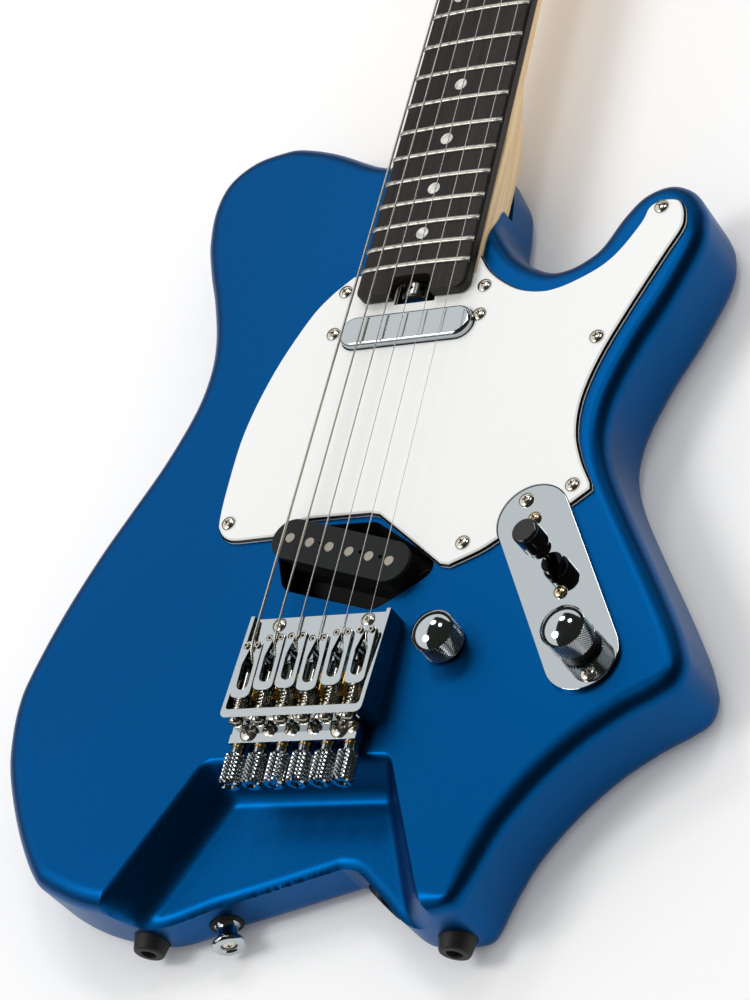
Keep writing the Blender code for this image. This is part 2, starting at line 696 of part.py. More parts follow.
def make_strings(steel, wound):
    grip = SCALE + NUT_LONG + FIT + HEAD_GRIP - 1 * MM
    for i, radius in enumerate(STRING_RADII):
        contact = SADDLE_LINES[i]
        nut_z = nut_string_z(i)
        top = saddle_top(i) + STRING_LIFT + radius
        path = (
            (string_x(i, grip), grip, nut_z - HEAD_DROP),
            (string_x(i, SCALE + NUT_LONG), SCALE + NUT_LONG, nut_z),
            (string_x(i, SCALE), SCALE, nut_z),
            (string_x(i, contact) + STRING_SHIFT, contact, top + SADDLE_CREST),
            (string_x(i, 0) + STRING_SHIFT, contact - SADDLE_SLOT[0] - 0.4 * MM, top + 0.1 * MM),
            (string_x(i, 0), PULLER_FRONT + FIT, TOP + TUNER_RISE),
        )
        solid(f"string_{i + 1}", tube(path, radius, 6), wound if i < 3 else steel)


def make_truss_rod(steel, nickel):
    wheel_back = BOARD_END + NOTCH_LONG - WHEEL_GAP
    wheel_front = wheel_back - WHEEL_LONG
    face = 2 * MM
    length = SCALE - 22 * MM - wheel_front
    shoulder = HEEL_END + FIT - wheel_front
    profile = ((0, face + FIT), (ROD_TIP_RADIUS, face + FIT), (ROD_TIP_RADIUS, shoulder),
               (ROD_RADIUS, shoulder), (ROD_RADIUS, length), (0, length))
    solid("truss_rod", laid(turned(profile, 16), (ROD_SHIFT, wheel_front, rod_height()), (0, 1, 0)), steel)
    bore = ROD_TIP_RADIUS + FIT
    wheel = ((0, face), (bore, face), (bore, WHEEL_LONG), (WHEEL_RADIUS - 0.6 * MM, WHEEL_LONG),
             (WHEEL_RADIUS, WHEEL_LONG - 0.6 * MM), (WHEEL_RADIUS, 0.6 * MM), (WHEEL_RADIUS - 0.6 * MM, 0),
             (0, 0))
    at = (ROD_SHIFT, wheel_front, rod_height())
    nut = solid("truss_rod_wheel", laid(turned(wheel, 24), at, (0, 1, 0)), nickel, at)
    spokes = []
    for k in range(WHEEL_HOLES):
        a = 2 * math.pi * k / WHEEL_HOLES
        out = Vector((math.cos(a), 0, math.sin(a)))
        start = Vector(at) + Vector((0, WHEEL_LONG / 2, 0)) + out * (bore + 1 * MM)
        spokes.append(laid(rod(WHEEL_HOLE_RADIUS, 8 * MM, 6),
                           start, out))
    boolean(nut, merged(*spokes))


def make_pickguard(white):
    outline = []
    for run in GUARD_RUNS:
        outline += smooth_run(in_mm(run), 2, False)
    low = TOP + FIT
    guard = solid("pickguard", prism(outline, low, low + GUARD_THICK, 0.7 * MM, 1), white)
    size = [s + 2 * FIT for s in NECK_PICKUP_SIZE]
    boolean(guard, prism(stadium(size, NECK_PICKUP_AT), low - OVER, TOP + 3 * OVER))
    size = [s + 2 * FIT for s in PLATE_SIZE]
    boolean(guard, prism(stadium(size, PLATE_AT, PLATE_TURN, 14), low - OVER, TOP + 3 * OVER))
    near, far = HEEL_END - FIT, HEEL_END + 40 * MM
    side_near, side_far = half_width(near) + 2 * FIT, half_width(far) + 2 * FIT
    boolean(guard, prism(((-side_near, near), (side_near, near), (side_far, far), (-side_far, far)),
                         low - OVER, TOP + 3 * OVER))
    boolean(guard, box((-NOTCH_WIDE / 2, BOARD_END, low - OVER),
                       (NOTCH_WIDE / 2, HEEL_END + OVER, TOP + 3 * OVER)))
    boolean(guard, merged(*(
        laid(rod(SCREW_HOLE_RADIUS, 9 * MM, 10),
             (x * MM, y * MM, low - 3 * MM))
        for x, y in GUARD_SCREWS)))


def make_neck_pickup(chrome, black):
    base = TOP - NECK_PICKUP_DEEP
    top = TOP + NECK_PICKUP_HIGH
    outline = stadium(NECK_PICKUP_SIZE, NECK_PICKUP_AT)
    cover = solid("neck_pickup_cover", prism(outline, base, top, 1.4 * MM, 3), chrome)
    inner = [s - 2 * NECK_PICKUP_WALL for s in NECK_PICKUP_SIZE]
    boolean(cover, prism(stadium(inner, NECK_PICKUP_AT), base - 5 * MM, top - NECK_PICKUP_WALL))
    core = [s - 2 * FIT for s in inner]
    coil = solid("neck_pickup_coil", prism(stadium(core, NECK_PICKUP_AT), base - FIT - 1 * MM,
                                           top - NECK_PICKUP_WALL - FIT), black)
    plate = stadium(NECK_PICKUP_PLATE[:2], NECK_PICKUP_AT)
    boolean(coil, prism(plate, base - FIT - NECK_PICKUP_PLATE[2], base - FIT), "UNION")


def pole_places():
    """Places of the slanted pickup's poles, one under each string."""
    turn = along(BRIDGE_PICKUP_TURN)
    return [
        (BRIDGE_PICKUP_AT[0] + turn.x * s, BRIDGE_PICKUP_AT[1] + turn.y * s)
        for s in (POLE_PITCH * (i - 2.5) for i in range(6))
    ]


def make_bridge_pickup(black, steel):
    top = TOP + BOBBIN_HIGH
    size = BOBBIN_SIZE
    outline = stadium(size, BRIDGE_PICKUP_AT, BRIDGE_PICKUP_TURN, 12)
    bobbin = solid("bridge_pickup_bobbin", prism(outline, top - BOBBIN_FLANGE, top, 0.8 * MM, 2), black)
    inner = [s - 2 * COIL_INSET for s in size]
    low = TOP - COIL_DEEP
    coil = stadium(inner, BRIDGE_PICKUP_AT, BRIDGE_PICKUP_TURN, 9)
    boolean(bobbin, prism(coil, low, top - BOBBIN_FLANGE + 0.5 * MM), "UNION")
    boolean(bobbin, merged(*(
        laid(rod(POLE_RADIUS, 4 * MM, 16),
             (x, y, top + POLE_RISE - 4 * MM))
        for x, y in pole_places())), "UNION")
    floor = TOP - BRIDGE_ROUT_DEEP + FIT
    inner = [s - 2 * COIL_INSET - 2 * MM for s in size]
    base = stadium(inner, BRIDGE_PICKUP_AT, BRIDGE_PICKUP_TURN, 9)
    solid("bridge_pickup_base", prism(base, floor, low - FIT), steel)


def across_bridge(side, width):
    """A shape given by its outline seen from the side, as wide as the given width."""
    half = width / 2
    return loft([[(BRIDGE_X + x, y, TOP + z) for y, z in side] for x in (-half, half)])


def make_bridge(chrome):
    side = ((BRIDGE_FRONT, FIT), (BRIDGE_FRONT, BRIDGE_FRONT_HIGH), (BRIDGE_REAR, BRIDGE_REAR_HIGH),
            (BRIDGE_REAR, FIT))
    bm = across_bridge(side, BRIDGE_WIDE)
    corners = [
        e for e in bm.edges
        if all(abs(v.co.y - BRIDGE_REAR) < 1e-6 for v in e.verts)
        and abs(e.verts[0].co.x - e.verts[1].co.x) < 1e-6
    ]
    bmesh.ops.bevel(bm, geom=corners, offset=BRIDGE_CORNER, segments=3, profile=0.5, affect="EDGES",
                    material=-1)
    frame = solid("bridge_frame", bm, chrome)
    bar = BRIDGE_REAR + BRIDGE_BAR
    ledge = BRIDGE_FRONT - BRIDGE_LEDGE
    well = ((BRIDGE_FRONT + 5 * MM, BRIDGE_LEDGE_HIGH), (BRIDGE_FRONT + 5 * MM, 30 * MM), (bar, 30 * MM),
            (bar, BRIDGE_FLOOR), (ledge, BRIDGE_FLOOR), (ledge, BRIDGE_LEDGE_HIGH))
    boolean(frame, across_bridge(well, BRIDGE_WIDE - 2 * BRIDGE_WALL))
    boolean(frame, bar_holes(INTONATION_RADIUS + FIT, INTONATION_RISE, bar + 3 * MM, BRIDGE_REAR - 3 * MM))
    boolean(frame, bar_holes(PULLER_ROD_RADIUS + FIT, TUNER_RISE, bar + 3 * MM, BRIDGE_REAR - 3 * MM))


def bar_holes(radius, rise, near, far):
    return merged(*(
        laid(rod(radius, near - far, 12),
             (string_x(i, 0), near, TOP + rise), (0, -1, 0))
        for i in range(6)))


def make_saddles(chrome, steel):
    half = SADDLE_WIDE / 2
    for i in range(6):
        line = SADDLE_LINES[i]
        front = line + SADDLE_FRONT
        rear = front - SADDLE_LONG
        top = saddle_top(i)
        low = top - SADDLE_THICK
        crest = top + SADDLE_CREST
        tab = TOP + INTONATION_RISE - SADDLE_TAB_LOW
        x = string_x(i, 0)
        side = ((front, low), (front, crest - 1 * MM), (front - 0.5 * MM, crest - 0.3 * MM), (line, crest),
                (line - 1 * MM, crest - 0.3 * MM), (line - 2.4 * MM, top), (rear, top), (rear, tab),
                (rear + SADDLE_TAB, tab), (rear + SADDLE_TAB, low))
        bm = loft([[(x + s, y, z) for y, z in side] for s in (-half, half)])
        corners = [
            e for e in bm.edges
            if all(abs(v.co.y - rear) < 1e-6 for v in e.verts)
            and abs(e.verts[0].co.x - e.verts[1].co.x) < 1e-6
        ]
        bmesh.ops.bevel(bm, geom=corners, offset=2.2 * MM, segments=3, profile=0.5, affect="EDGES",
                        material=-1)
        saddle = solid(f"saddle_{i + 1}", bm, chrome, (x, line, top))
        foot = TOP + BRIDGE_LEDGE_HIGH + FIT
        legs = merged(*(
            laid(rod(SADDLE_LEG_RADIUS, low + 1 * MM - foot, 12),
                 (x + s * (half - SADDLE_LEG_IN), line - SADDLE_LEG_BACK, foot))
            for s in (-1, 1)))
        boolean(saddle, legs, "UNION")
        slot_size = (SADDLE_SLOT[1] - SADDLE_SLOT[0], SADDLE_SLOT_WIDE)
        slot_at = (x, line - (SADDLE_SLOT[0] + SADDLE_SLOT[1]) / 2)
        boolean(saddle, prism(stadium(slot_size, slot_at, math.pi / 2, 6), low - 1 * MM, crest + 3 * MM))
        bore = INTONATION_RADIUS + FIT
        boolean(saddle, laid(rod(bore, SADDLE_TAB + 4 * MM, 12),
                             (x, rear - 2 * MM, TOP + INTONATION_RISE), (0, 1, 0)))
        head = BRIDGE_REAR - FIT - INTONATION_HEAD[1]
        reach = INTONATION_HEAD[1] + FIT + INTONATION_TIP
        profile = ((0, 0), (INTONATION_HEAD[0] - 0.8 * MM, 0), (INTONATION_HEAD[0], 0.9 * MM),
                   (INTONATION_HEAD[0], INTONATION_HEAD[1]), (INTONATION_RADIUS, INTONATION_HEAD[1]),
                   (INTONATION_RADIUS, reach), (0, reach))
        at = (x, head, TOP + INTONATION_RISE)
        solid(f"intonation_screw_{i + 1}", laid(turned(profile, 12), at, (0, 1, 0)), steel, at)


def make_tuners(chrome, brass, dark):
    middle = BRIDGE_X + TUNER_BLOCK_SHIFT
    near = BRIDGE_REAR - FIT
    far = near - TUNER_BLOCK_LONG
    block = solid("tuner_block", box((middle - TUNER_BLOCK_WIDE / 2, far, BRIDGE_BASE_Z),
                                     (middle + TUNER_BLOCK_WIDE / 2, near, TOP + TUNER_BLOCK_HIGH)), chrome)
    boolean(block, bar_holes(PULLER_ROD_RADIUS + FIT, TUNER_RISE, near + 3 * MM, far - 3 * MM))
    start = far - FIT
    neck_radius, neck_long = TUNER_NECK
    long = neck_long + TUNER_KNOB_LONG
    bore = PULLER_ROD_RADIUS + FIT
    deep = long - TUNER_SLOT[1] - 1.6 * MM
    knob = ((0, deep), (bore, deep), (bore, 0), (neck_radius, 0), (neck_radius, neck_long),
            (TUNER_KNOB_RADIUS - 0.6 * MM, neck_long), (TUNER_KNOB_RADIUS, neck_long + 0.6 * MM),
            (TUNER_KNOB_RADIUS, long - 0.8 * MM), (TUNER_KNOB_RADIUS - 0.8 * MM, long), (0, long))
    rod_end = start - deep + PULLER_TRAVEL / 2 + 1 * MM
    reach = PULLER_FRONT - rod_end
    puller = ((0, 0), (PULLER_RADIUS, 0), (PULLER_RADIUS, PULLER_LONG), (PULLER_ROD_RADIUS, PULLER_LONG),
              (PULLER_ROD_RADIUS, reach), (0, reach))
    for i in range(6):
        at = (string_x(i, 0), start, TOP + TUNER_RISE)
        turner = solid(f"tuner_knob_{i + 1}", laid(turned(knob, 16), at, (0, -1, 0)), chrome, at)
        half = TUNER_SLOT[0] / 2
        boolean(turner, box((at[0] - 10 * MM, start - long - 3 * MM, at[2] - half),
                            (at[0] + 10 * MM, start - long + TUNER_SLOT[1], at[2] + half)))
        at = (string_x(i, 0), PULLER_FRONT, TOP + TUNER_RISE)
        solid(f"string_puller_{i + 1}", laid(turned(puller, 12), at, (0, -1, 0)), brass, at)


def knob_profile(bore):
    dome = [(KNOB_RADIUS * wide, KNOB_HIGH - KNOB_DOME * drop)
            for wide, drop in ((1, 1), (0.94, 0.7), (0.78, 0.32), (0.5, 0.1), (0, 0))]
    return [(0, SHAFT_UP), (bore, SHAFT_UP), (bore, 0), (KNOB_RADIUS - 0.5 * MM, 0),
            (KNOB_RADIUS, 0.6 * MM), *dome]


def make_controls(chrome, steel, black):
    low = TOP + FIT
    top = low + PLATE_THICK
    outline = stadium(PLATE_SIZE, PLATE_AT, PLATE_TURN, 14)
    plate = solid("control_plate", prism(outline, low, top, 0.5 * MM, 1), chrome)
    boolean(plate, prism(stadium(SWITCH_SLOT, on_plate(SWITCH_SLIDE, 0).xy, PLATE_TURN, 4),
                         low - OVER, top + 5 * MM))
    hole = BUSHING_RADIUS + FIT
    volume = on_plate(VOLUME_SLIDE, 0)
    boolean(plate, laid(rod(hole, 10 * MM, 16),
                        (volume.x, volume.y, low - OVER)))

    mid = on_plate(SWITCH_SLIDE, low - FIT - SWITCH_BODY[2] / 2)
    switch = solid("switch_body", turned_box(SWITCH_BODY, mid), black)
    pivot = on_plate(SWITCH_SLIDE, TOP + LEVER_PIVOT)
    room = (SWITCH_SLOT[0] - 3 * MM, LEVER_THICK + 2 * FIT, 16 * MM)
    boolean(switch, turned_box(room, pivot + Vector((0, 0, 4.5 * MM))))
    foot = pivot.z - 2.5 * MM
    blade_top = TOP + LEVER_TOP
    size = (LEVER_WIDE, LEVER_THICK, blade_top - foot)
    solid("switch_lever", turned_box(size, on_plate(SWITCH_SLIDE, (blade_top + foot) / 2)), steel, pivot)
    tip_low = TOP + TIP_FOOT
    tip_high = TOP + TIP_TOP - tip_low
    foot_wide, wide = TIP_FOOT_RADIUS, TIP_RADIUS
    profile = ((0, 0), (foot_wide - 0.5 * MM, 0), (foot_wide, 0.5 * MM), (foot_wide, TIP_STEP),
               (wide, TIP_STEP + 0.8 * MM), (wide, tip_high - 1.6 * MM),
               (wide - 0.5 * MM, tip_high - 0.6 * MM), (wide - 1.6 * MM, tip_high), (0, tip_high))
    at = on_plate(SWITCH_SLIDE, tip_low)
    tip = solid("switch_tip", laid(turned(profile, 20), at), black, pivot)
    room = (LEVER_WIDE + 2 * FIT, LEVER_THICK + 2 * FIT, blade_top + FIT - tip_low + 5 * MM)
    boolean(tip, turned_box(room, on_plate(SWITCH_SLIDE, (blade_top + FIT + tip_low - OVER) / 2)))

    bore = SHAFT_RADIUS + FIT
    places = (("volume", volume, low - FIT, top, VOLUME_GAP), ("tone", Vector((*TONE_AT, 0)),
              TOP - TOP_WALL - FIT, TOP, TONE_GAP))
    for name, at, under, face, gap in places:
        knob_low = face + gap
        shaft = knob_low + SHAFT_UP - FIT
        drop = under - POT_DEEP
        profile = ((0, 0), (POT_RADIUS, 0), (POT_RADIUS, POT_DEEP), (BUSHING_RADIUS, POT_DEEP),
                   (BUSHING_RADIUS, face + gap * 0.4 - drop), (SHAFT_RADIUS, face + gap * 0.4 - drop),
                   (SHAFT_RADIUS, shaft - drop), (0, shaft - drop))
        solid(f"{name}_pot", laid(turned(profile, 20), (at.x, at.y, drop)), steel)
        spot = (at.x, at.y, knob_low)
        solid(f"{name}_knob", laid(turned(knob_profile(bore), 24), spot), chrome, spot)


def turned_box(size, centre):
    """A box lying along the control plate, centred on a point."""
    half = [s / 2 for s in size]
    bm = box([-h for h in half], half)
    bm.transform(Matrix.Translation(centre) @ Matrix.Rotation(PLATE_TURN, 4, "Z"))
    return bm


def make_back(black, chrome):
    cover = ((0, 0), (COVER_RADIUS, 0), (COVER_RADIUS, COVER_THICK), (0, COVER_THICK))
    solid("back_cover", laid(turned(cover, 32), (*TONE_AT, 0)), black)
    outline = round_rectangle(NECK_PLATE_SIZE[:2], 4 * MM, (0, NECK_PLATE_Y))
    plate = solid("neck_plate", prism(outline, 0, NECK_PLATE_SIZE[2]), chrome)
    boolean(plate, merged(*(
        laid(rod(NECK_BOLT_RADIUS, NECK_BOLT_LONG - 2 * MM, 12), (x, y, 1 * MM))
        for x, y in neck_bolts())), "UNION")


def make_tail(rubber, chrome, black):
    feet = (("foot_bass", FOOT_BASS_AT, FOOT_BASS_RISE), ("foot_treble", FOOT_TREBLE_AT, FOOT_TREBLE_RISE))
    for name, at, rise in feet:
        wide, narrow = FOOT_RADII
        end = FOOT_SINK + FOOT_LONG
        seat = FOOT_SINK + 3 * MM
        profile = ((0, 0), (wide, 0), (wide, FOOT_SINK), (narrow + 0.4 * MM, end - 1 * MM),
                   (narrow - 0.6 * MM, end), (FOOT_SCREW_RADIUS, end), (FOOT_SCREW_RADIUS - 0.3 * MM, seat),
                   (0, seat))
        solid(name, laid(turned(profile, 20), (at[0], at[1] + FOOT_SINK - FIT, rise), (0, -1, 0)), rubber)
    for name, (at, turn, rise) in zip(("strap_button_tail", "strap_button_horn"), button_places()):
        base, waist, end = BUTTON_RADII
        out = along(turn)
        start = Vector((*at, rise)) - out * (BUTTON_SINK - FIT)
        long = BUTTON_LONG + BUTTON_SINK
        washer = BUTTON_SINK + BUTTON_WASHER
        profile = ((0, 0), (base, 0), (base, washer), (waist + 1 * MM, washer), (waist, washer + 1.6 * MM),
                   (waist, long - 4.4 * MM), (end, long - 2.4 * MM), (end, long - 1 * MM),
                   (end - 1.4 * MM, long), (0, long))
        solid(name, laid(turned(profile, 20), start, out), chrome)

    jack = along(JACK_TURN)
    at = Vector((*JACK_AT, JACK_RISE))
    bore = JACK_RADIUS + FIT
    back = FIT - JACK_CUP_SINK
    wide, high = JACK_CUP_RADIUS, JACK_CUP_HIGH
    cup = ((wide, back), (wide, high - 1 * MM), (wide - 1 * MM, high), (bore, high), (bore, back),
           (wide, back))
    solid("jack_plate", laid(turned(cup, 24), at, jack), black)
    front = JACK_CUP_HIGH - 0.8 * MM
    profile = ((0, JACK_LONG - 3 * MM), (JACK_BORE_RADIUS, JACK_LONG - 3 * MM), (JACK_BORE_RADIUS, 0),
               (JACK_RADIUS, 0), (JACK_RADIUS, JACK_LONG), (0, JACK_LONG))
    solid("output_jack", laid(turned(profile, 20), at + jack * front, -jack), chrome)


def main():
    clear_scene()
    blue = material("metallic_blue_paint", (0.005, 0.06, 0.25), 0.6, 0.4)
    maple = material("maple", (0.62, 0.43, 0.25), 0, 0.45)
    rosewood = material("rosewood_and_frets", (0.03, 0.018, 0.012), 0, 0.5)
    bone = material("black_nut", (0.02, 0.02, 0.02), 0, 0.4)
    chrome = material("chrome", (0.75, 0.75, 0.76), 1, 0.08)
    steel = material("steel", (0.55, 0.55, 0.55), 1, 0.25)
    nickel = material("nickel", (0.7, 0.66, 0.6), 1, 0.2)
    brass = material("brass", (0.7, 0.5, 0.2), 1, 0.25)
    white = material("white_plastic", (0.82, 0.84, 0.82), 0, 0.35)
    black = material("black_plastic", (0.012, 0.012, 0.013), 0, 0.35)
    rubber = material("black_rubber", (0.02, 0.02, 0.02), 0, 0.8)
    make_body(blue)
    make_neck(maple)
    make_fingerboard(rosewood)
    make_nut(bone)
    make_headpiece(black)
    make_strings(steel, nickel)
    make_truss_rod(steel, nickel)
    make_pickguard(white)
    make_neck_pickup(chrome, black)
    make_bridge_pickup(black, steel)
    make_bridge(chrome)
    make_saddles(chrome, steel)
    make_tuners(chrome, brass, steel)
    make_controls(chrome, steel, black)
    make_back(black, chrome)
    make_tail(rubber, chrome, black)


main()
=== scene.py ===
# %% [markdown]
# A headless electric guitar, dressed for rendering. The CAD model is loaded first and stays fixed, and each
# cell below adds a piece or a finish where the CAD model says it goes. The real instrument has a wooden body
# under satin metallic lacquer, a maple neck, a dark fingerboard, and chrome hardware.

# %% Load the frame
import json
import math

import bmesh
import bpy
from mathutils import Matrix, Vector, kdtree

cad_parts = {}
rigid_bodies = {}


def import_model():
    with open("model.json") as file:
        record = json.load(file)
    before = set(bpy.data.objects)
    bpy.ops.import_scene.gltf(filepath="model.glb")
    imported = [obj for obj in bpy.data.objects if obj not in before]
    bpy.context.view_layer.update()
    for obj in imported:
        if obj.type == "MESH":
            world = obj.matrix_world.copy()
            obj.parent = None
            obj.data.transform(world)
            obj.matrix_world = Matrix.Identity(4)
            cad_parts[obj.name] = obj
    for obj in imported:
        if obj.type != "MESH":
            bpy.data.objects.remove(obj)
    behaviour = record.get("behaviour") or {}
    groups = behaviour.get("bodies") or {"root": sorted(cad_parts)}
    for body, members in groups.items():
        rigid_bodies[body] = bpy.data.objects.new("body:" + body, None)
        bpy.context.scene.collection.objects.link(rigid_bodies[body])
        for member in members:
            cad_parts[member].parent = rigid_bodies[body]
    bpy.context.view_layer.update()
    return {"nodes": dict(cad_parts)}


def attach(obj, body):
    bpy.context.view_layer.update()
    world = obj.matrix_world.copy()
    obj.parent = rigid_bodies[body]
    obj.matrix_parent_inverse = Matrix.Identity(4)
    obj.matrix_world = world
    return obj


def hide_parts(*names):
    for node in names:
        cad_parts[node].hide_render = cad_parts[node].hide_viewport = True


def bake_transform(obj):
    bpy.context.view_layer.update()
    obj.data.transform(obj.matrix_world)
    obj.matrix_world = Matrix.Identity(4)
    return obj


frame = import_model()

nodes = frame["nodes"]
print("CAD nodes:", len(nodes))

# %% [markdown]
# Every length below is in millimetres, because that is how a luthier's drawing gives it, and a piece is
# brought to metres once, when its mesh is finished. The main heights come first: the face of the body, the
# fingerboard and the tops of the frets.

# %% Main sizes
MM = 0.001
TOP = 41.5
FIT = 0.3
BOARD_LOW = 45.0
BOARD_TOP = 51.0
FRET_TOP = 52.1
SCALE = 647.7
NUT_HALF, END_HALF, BOARD_END = 21.0, 27.8, 167.5
HEEL_END = 178.5
BRIDGE_X = -0.9
PITCH = 10.7
NUT_PITCH = 7.12


def half_width(y):
    """Half the fingerboard's width at a distance from the bridge line."""
    return NUT_HALF + (END_HALF - NUT_HALF) * (SCALE - y) / (SCALE - BOARD_END)


def crown(x, radius=311.0):
    """How far the arched top of the fingerboard lies below its middle."""
    return radius - math.sqrt(radius * radius - x * x)


def string_x(i, y):
    """Sideways place of a string, counted from the bass side."""
    at_bridge = BRIDGE_X + (i - 2.5) * PITCH
    return at_bridge + ((i - 2.5) * NUT_PITCH - at_bridge) * y / SCALE


# %% [markdown]
# Two helpers serve every material. The first turns an sRGB hex value into the linear colour that the shader
# wants. The second adds one node with its settings, and links its inputs to the sockets that feed it. A third
# starts a material from the Principled shader, with the constants set on the shader's own sockets.

# %% Material helpers
def tone(text):
    """An sRGB hex value as a linear colour."""
    out = []
    for k in (1, 3, 5):
        c = int(text[k:k + 2], 16) / 255
        out.append(c / 12.92 if c <= 0.04045 else ((c + 0.055) / 1.055) ** 2.4)
    return (*out, 1.0)


def add(mat, kind, settings=None, links=None, feeds=None):
    """Adds a node, sets its attributes and inputs, links its inputs, and feeds its outputs onwards."""
    node = mat.node_tree.nodes.new(kind)
    for key, value in (settings or {}).items():
        if isinstance(key, str) and hasattr(node, key):
            setattr(node, key, value)
        else:
            node.inputs[key].default_value = value
    for key, socket in (links or {}).items():
        mat.node_tree.links.new(socket, node.inputs[key])
    for key, socket in (feeds or {}).items():
        mat.node_tree.links.new(node.outputs[key], socket)
    return node


def surface(name, colour, metallic=0.0, roughness=0.5, **more):
    """A new material on the Principled shader, and that shader."""
    mat = bpy.data.materials.new(name)
    mat.use_nodes = True
    shader = mat.node_tree.nodes["Principled BSDF"]
    shader.inputs["Base Color"].default_value = tone(colour)
    shader.inputs["Metallic"].default_value = metallic
    shader.inputs["Roughness"].default_value = roughness
    for key, value in more.items():
        shader.inputs[key.replace("_", " ")].default_value = value
    return mat, shader


def grain(mat, shader, size, strength, depth, stretch=(1, 1, 1), detail=2.0):
    """A fine relief made of noise whose features have the given size in millimetres."""
    place = add(mat, "ShaderNodeTexCoord")
    spread = add(mat, "ShaderNodeMapping", {"Scale": stretch}, {"Vector": place.outputs["Object"]})
    noise = add(mat, "ShaderNodeTexNoise", {"Scale": 1000 / size, "Detail": detail},
                {"Vector": spread.outputs["Vector"]})
    add(mat, "ShaderNodeBump", {"Strength": strength, "Distance": depth * MM},
        {"Height": noise.outputs["Fac"]}, {"Normal": shader.inputs["Normal"]})
    return noise


# %% [markdown]
# The body wears satin metallic lacquer: a colour coat full of aluminium flake, rubbed to a silk finish, so
# highlights are broad and soft. The flakes are a few hundredths of a millimetre wide and too fine to show, so
# their sparkle is drawn at about a third of a millimetre, as small changes in brightness and roughness.

# %% Satin metallic lacquer
lacquer, shader = surface("satin_metallic_lacquer", "#00508C", metallic=1.0, roughness=0.4)
noise = grain(lacquer, shader, 0.5, 0.06, 0.02)
flake = add(lacquer, "ShaderNodeValToRGB", {}, {"Fac": noise.outputs["Fac"]})
flake.color_ramp.elements[0].position = 0.3
flake.color_ramp.elements[0].color = tone("#004A84")
flake.color_ramp.elements[1].position = 0.72
flake.color_ramp.elements[1].color = tone("#005696")
lacquer.node_tree.links.new(flake.outputs["Color"], shader.inputs["Base Color"])
add(lacquer, "ShaderNodeMapRange", {"To Min": 0.36, "To Max": 0.44}, {"Value": noise.outputs["Fac"]},
    {"Result": shader.inputs["Roughness"]})

# %% [markdown]
# The hollows under the slanted pickup and the controls are painted with black shielding paint, brushed on
# thickly, which dries dull and a little uneven. The same black is laid in the notch for the truss rod wheel
# as painted shade.

# %% Shielding paint and painted notch shade
shield_and_notch_shade, shader = surface("black_shielding_paint_and_painted_shade", "#060607", roughness=0.75)
grain(shield_and_notch_shade, shader, 3.0, 0.4, 0.2)

# %% [markdown]
# The neck is hard maple with a thin satin finish. Maple is pale and close grained, with faint darker lines
# along its length, so a noise stretched along the neck moves the colour between two close creams.

# %% Maple
maple, shader = surface("satin_maple", "#E6C898", roughness=0.42)
place = add(maple, "ShaderNodeTexCoord")
spread = add(maple, "ShaderNodeMapping", {"Scale": (1.0, 0.05, 1.0)}, {"Vector": place.outputs["Object"]})
lines = add(maple, "ShaderNodeTexNoise", {"Scale": 420.0, "Detail": 4.0}, {"Vector": spread.outputs["Vector"]})
ramp = add(maple, "ShaderNodeValToRGB", {}, {"Fac": lines.outputs["Fac"]},
           {"Color": shader.inputs["Base Color"]})
ramp.color_ramp.elements[0].position, ramp.color_ramp.elements[0].color = 0.3, tone("#DEB984")
ramp.color_ramp.elements[1].position, ramp.color_ramp.elements[1].color = 0.7, tone("#F8DBAD")
add(maple, "ShaderNodeBump", {"Strength": 0.12, "Distance": 0.05 * MM}, {"Height": lines.outputs["Fac"]},
    {"Normal": shader.inputs["Normal"]})

# %% [markdown]
# The fingerboard is a dark, oily hardwood left bare. Its open pores are fine dark strokes a few millimetres
# long and about a third of a millimetre wide, over slow changes from dark brown to nearly black.

# %% Rosewood
rosewood, shader = surface("bare_rosewood", "#231C1A", roughness=0.5, Specular_IOR_Level=0.3)
place = add(rosewood, "ShaderNodeTexCoord")
spread = add(rosewood, "ShaderNodeMapping", {"Scale": (1.0, 0.06, 1.0)}, {"Vector": place.outputs["Object"]})
pores = add(rosewood, "ShaderNodeTexNoise", {"Scale": 1500.0, "Detail": 3.0},
            {"Vector": spread.outputs["Vector"]})
bands = add(rosewood, "ShaderNodeTexNoise", {"Scale": 220.0, "Detail": 3.0},
            {"Vector": spread.outputs["Vector"]})
both = add(rosewood, "ShaderNodeMath", {"operation": "MULTIPLY"},
           {0: pores.outputs["Fac"], 1: bands.outputs["Fac"]})
ramp = add(rosewood, "ShaderNodeValToRGB", {}, {"Fac": both.outputs["Value"]},
           {"Color": shader.inputs["Base Color"]})
ramp.color_ramp.elements[0].position, ramp.color_ramp.elements[0].color = 0.12, tone("#0F0C0B")
ramp.color_ramp.elements[1].position, ramp.color_ramp.elements[1].color = 0.4, tone("#2C2220")
add(rosewood, "ShaderNodeBump", {"Strength": 0.35, "Distance": 0.08 * MM}, {"Height": pores.outputs["Fac"]},
    {"Normal": shader.inputs["Normal"]})

# %% [markdown]
# Frets are nickel silver wire, levelled and polished along the board, which leaves hair-fine scratches.
# Their pale, slightly warm grey comes from the colour, and the scratches from a stretched noise.

# %% Fret wire
fret_metal, shader = surface("polished_fret_wire", "#B9B6AE", metallic=1.0, roughness=0.34)
grain(fret_metal, shader, 0.6, 0.25, 0.02, (1, 0.1, 1))

# %% [markdown]
# The position dots are discs of pearl shell, whose layers shift softly between cream and grey.

# %% Pearl dots
pearl, shader = surface("pearl_shell", "#D8D8CE", roughness=0.22)
noise = grain(pearl, shader, 2.5, 0.05, 0.02)
ramp = add(pearl, "ShaderNodeValToRGB", {}, {"Fac": noise.outputs["Fac"]},
           {"Color": shader.inputs["Base Color"]})
ramp.color_ramp.elements[0].position, ramp.color_ramp.elements[0].color = 0.35, tone("#B9BCB6")
ramp.color_ramp.elements[1].position, ramp.color_ramp.elements[1].color = 0.65, tone("#ECEBE0")

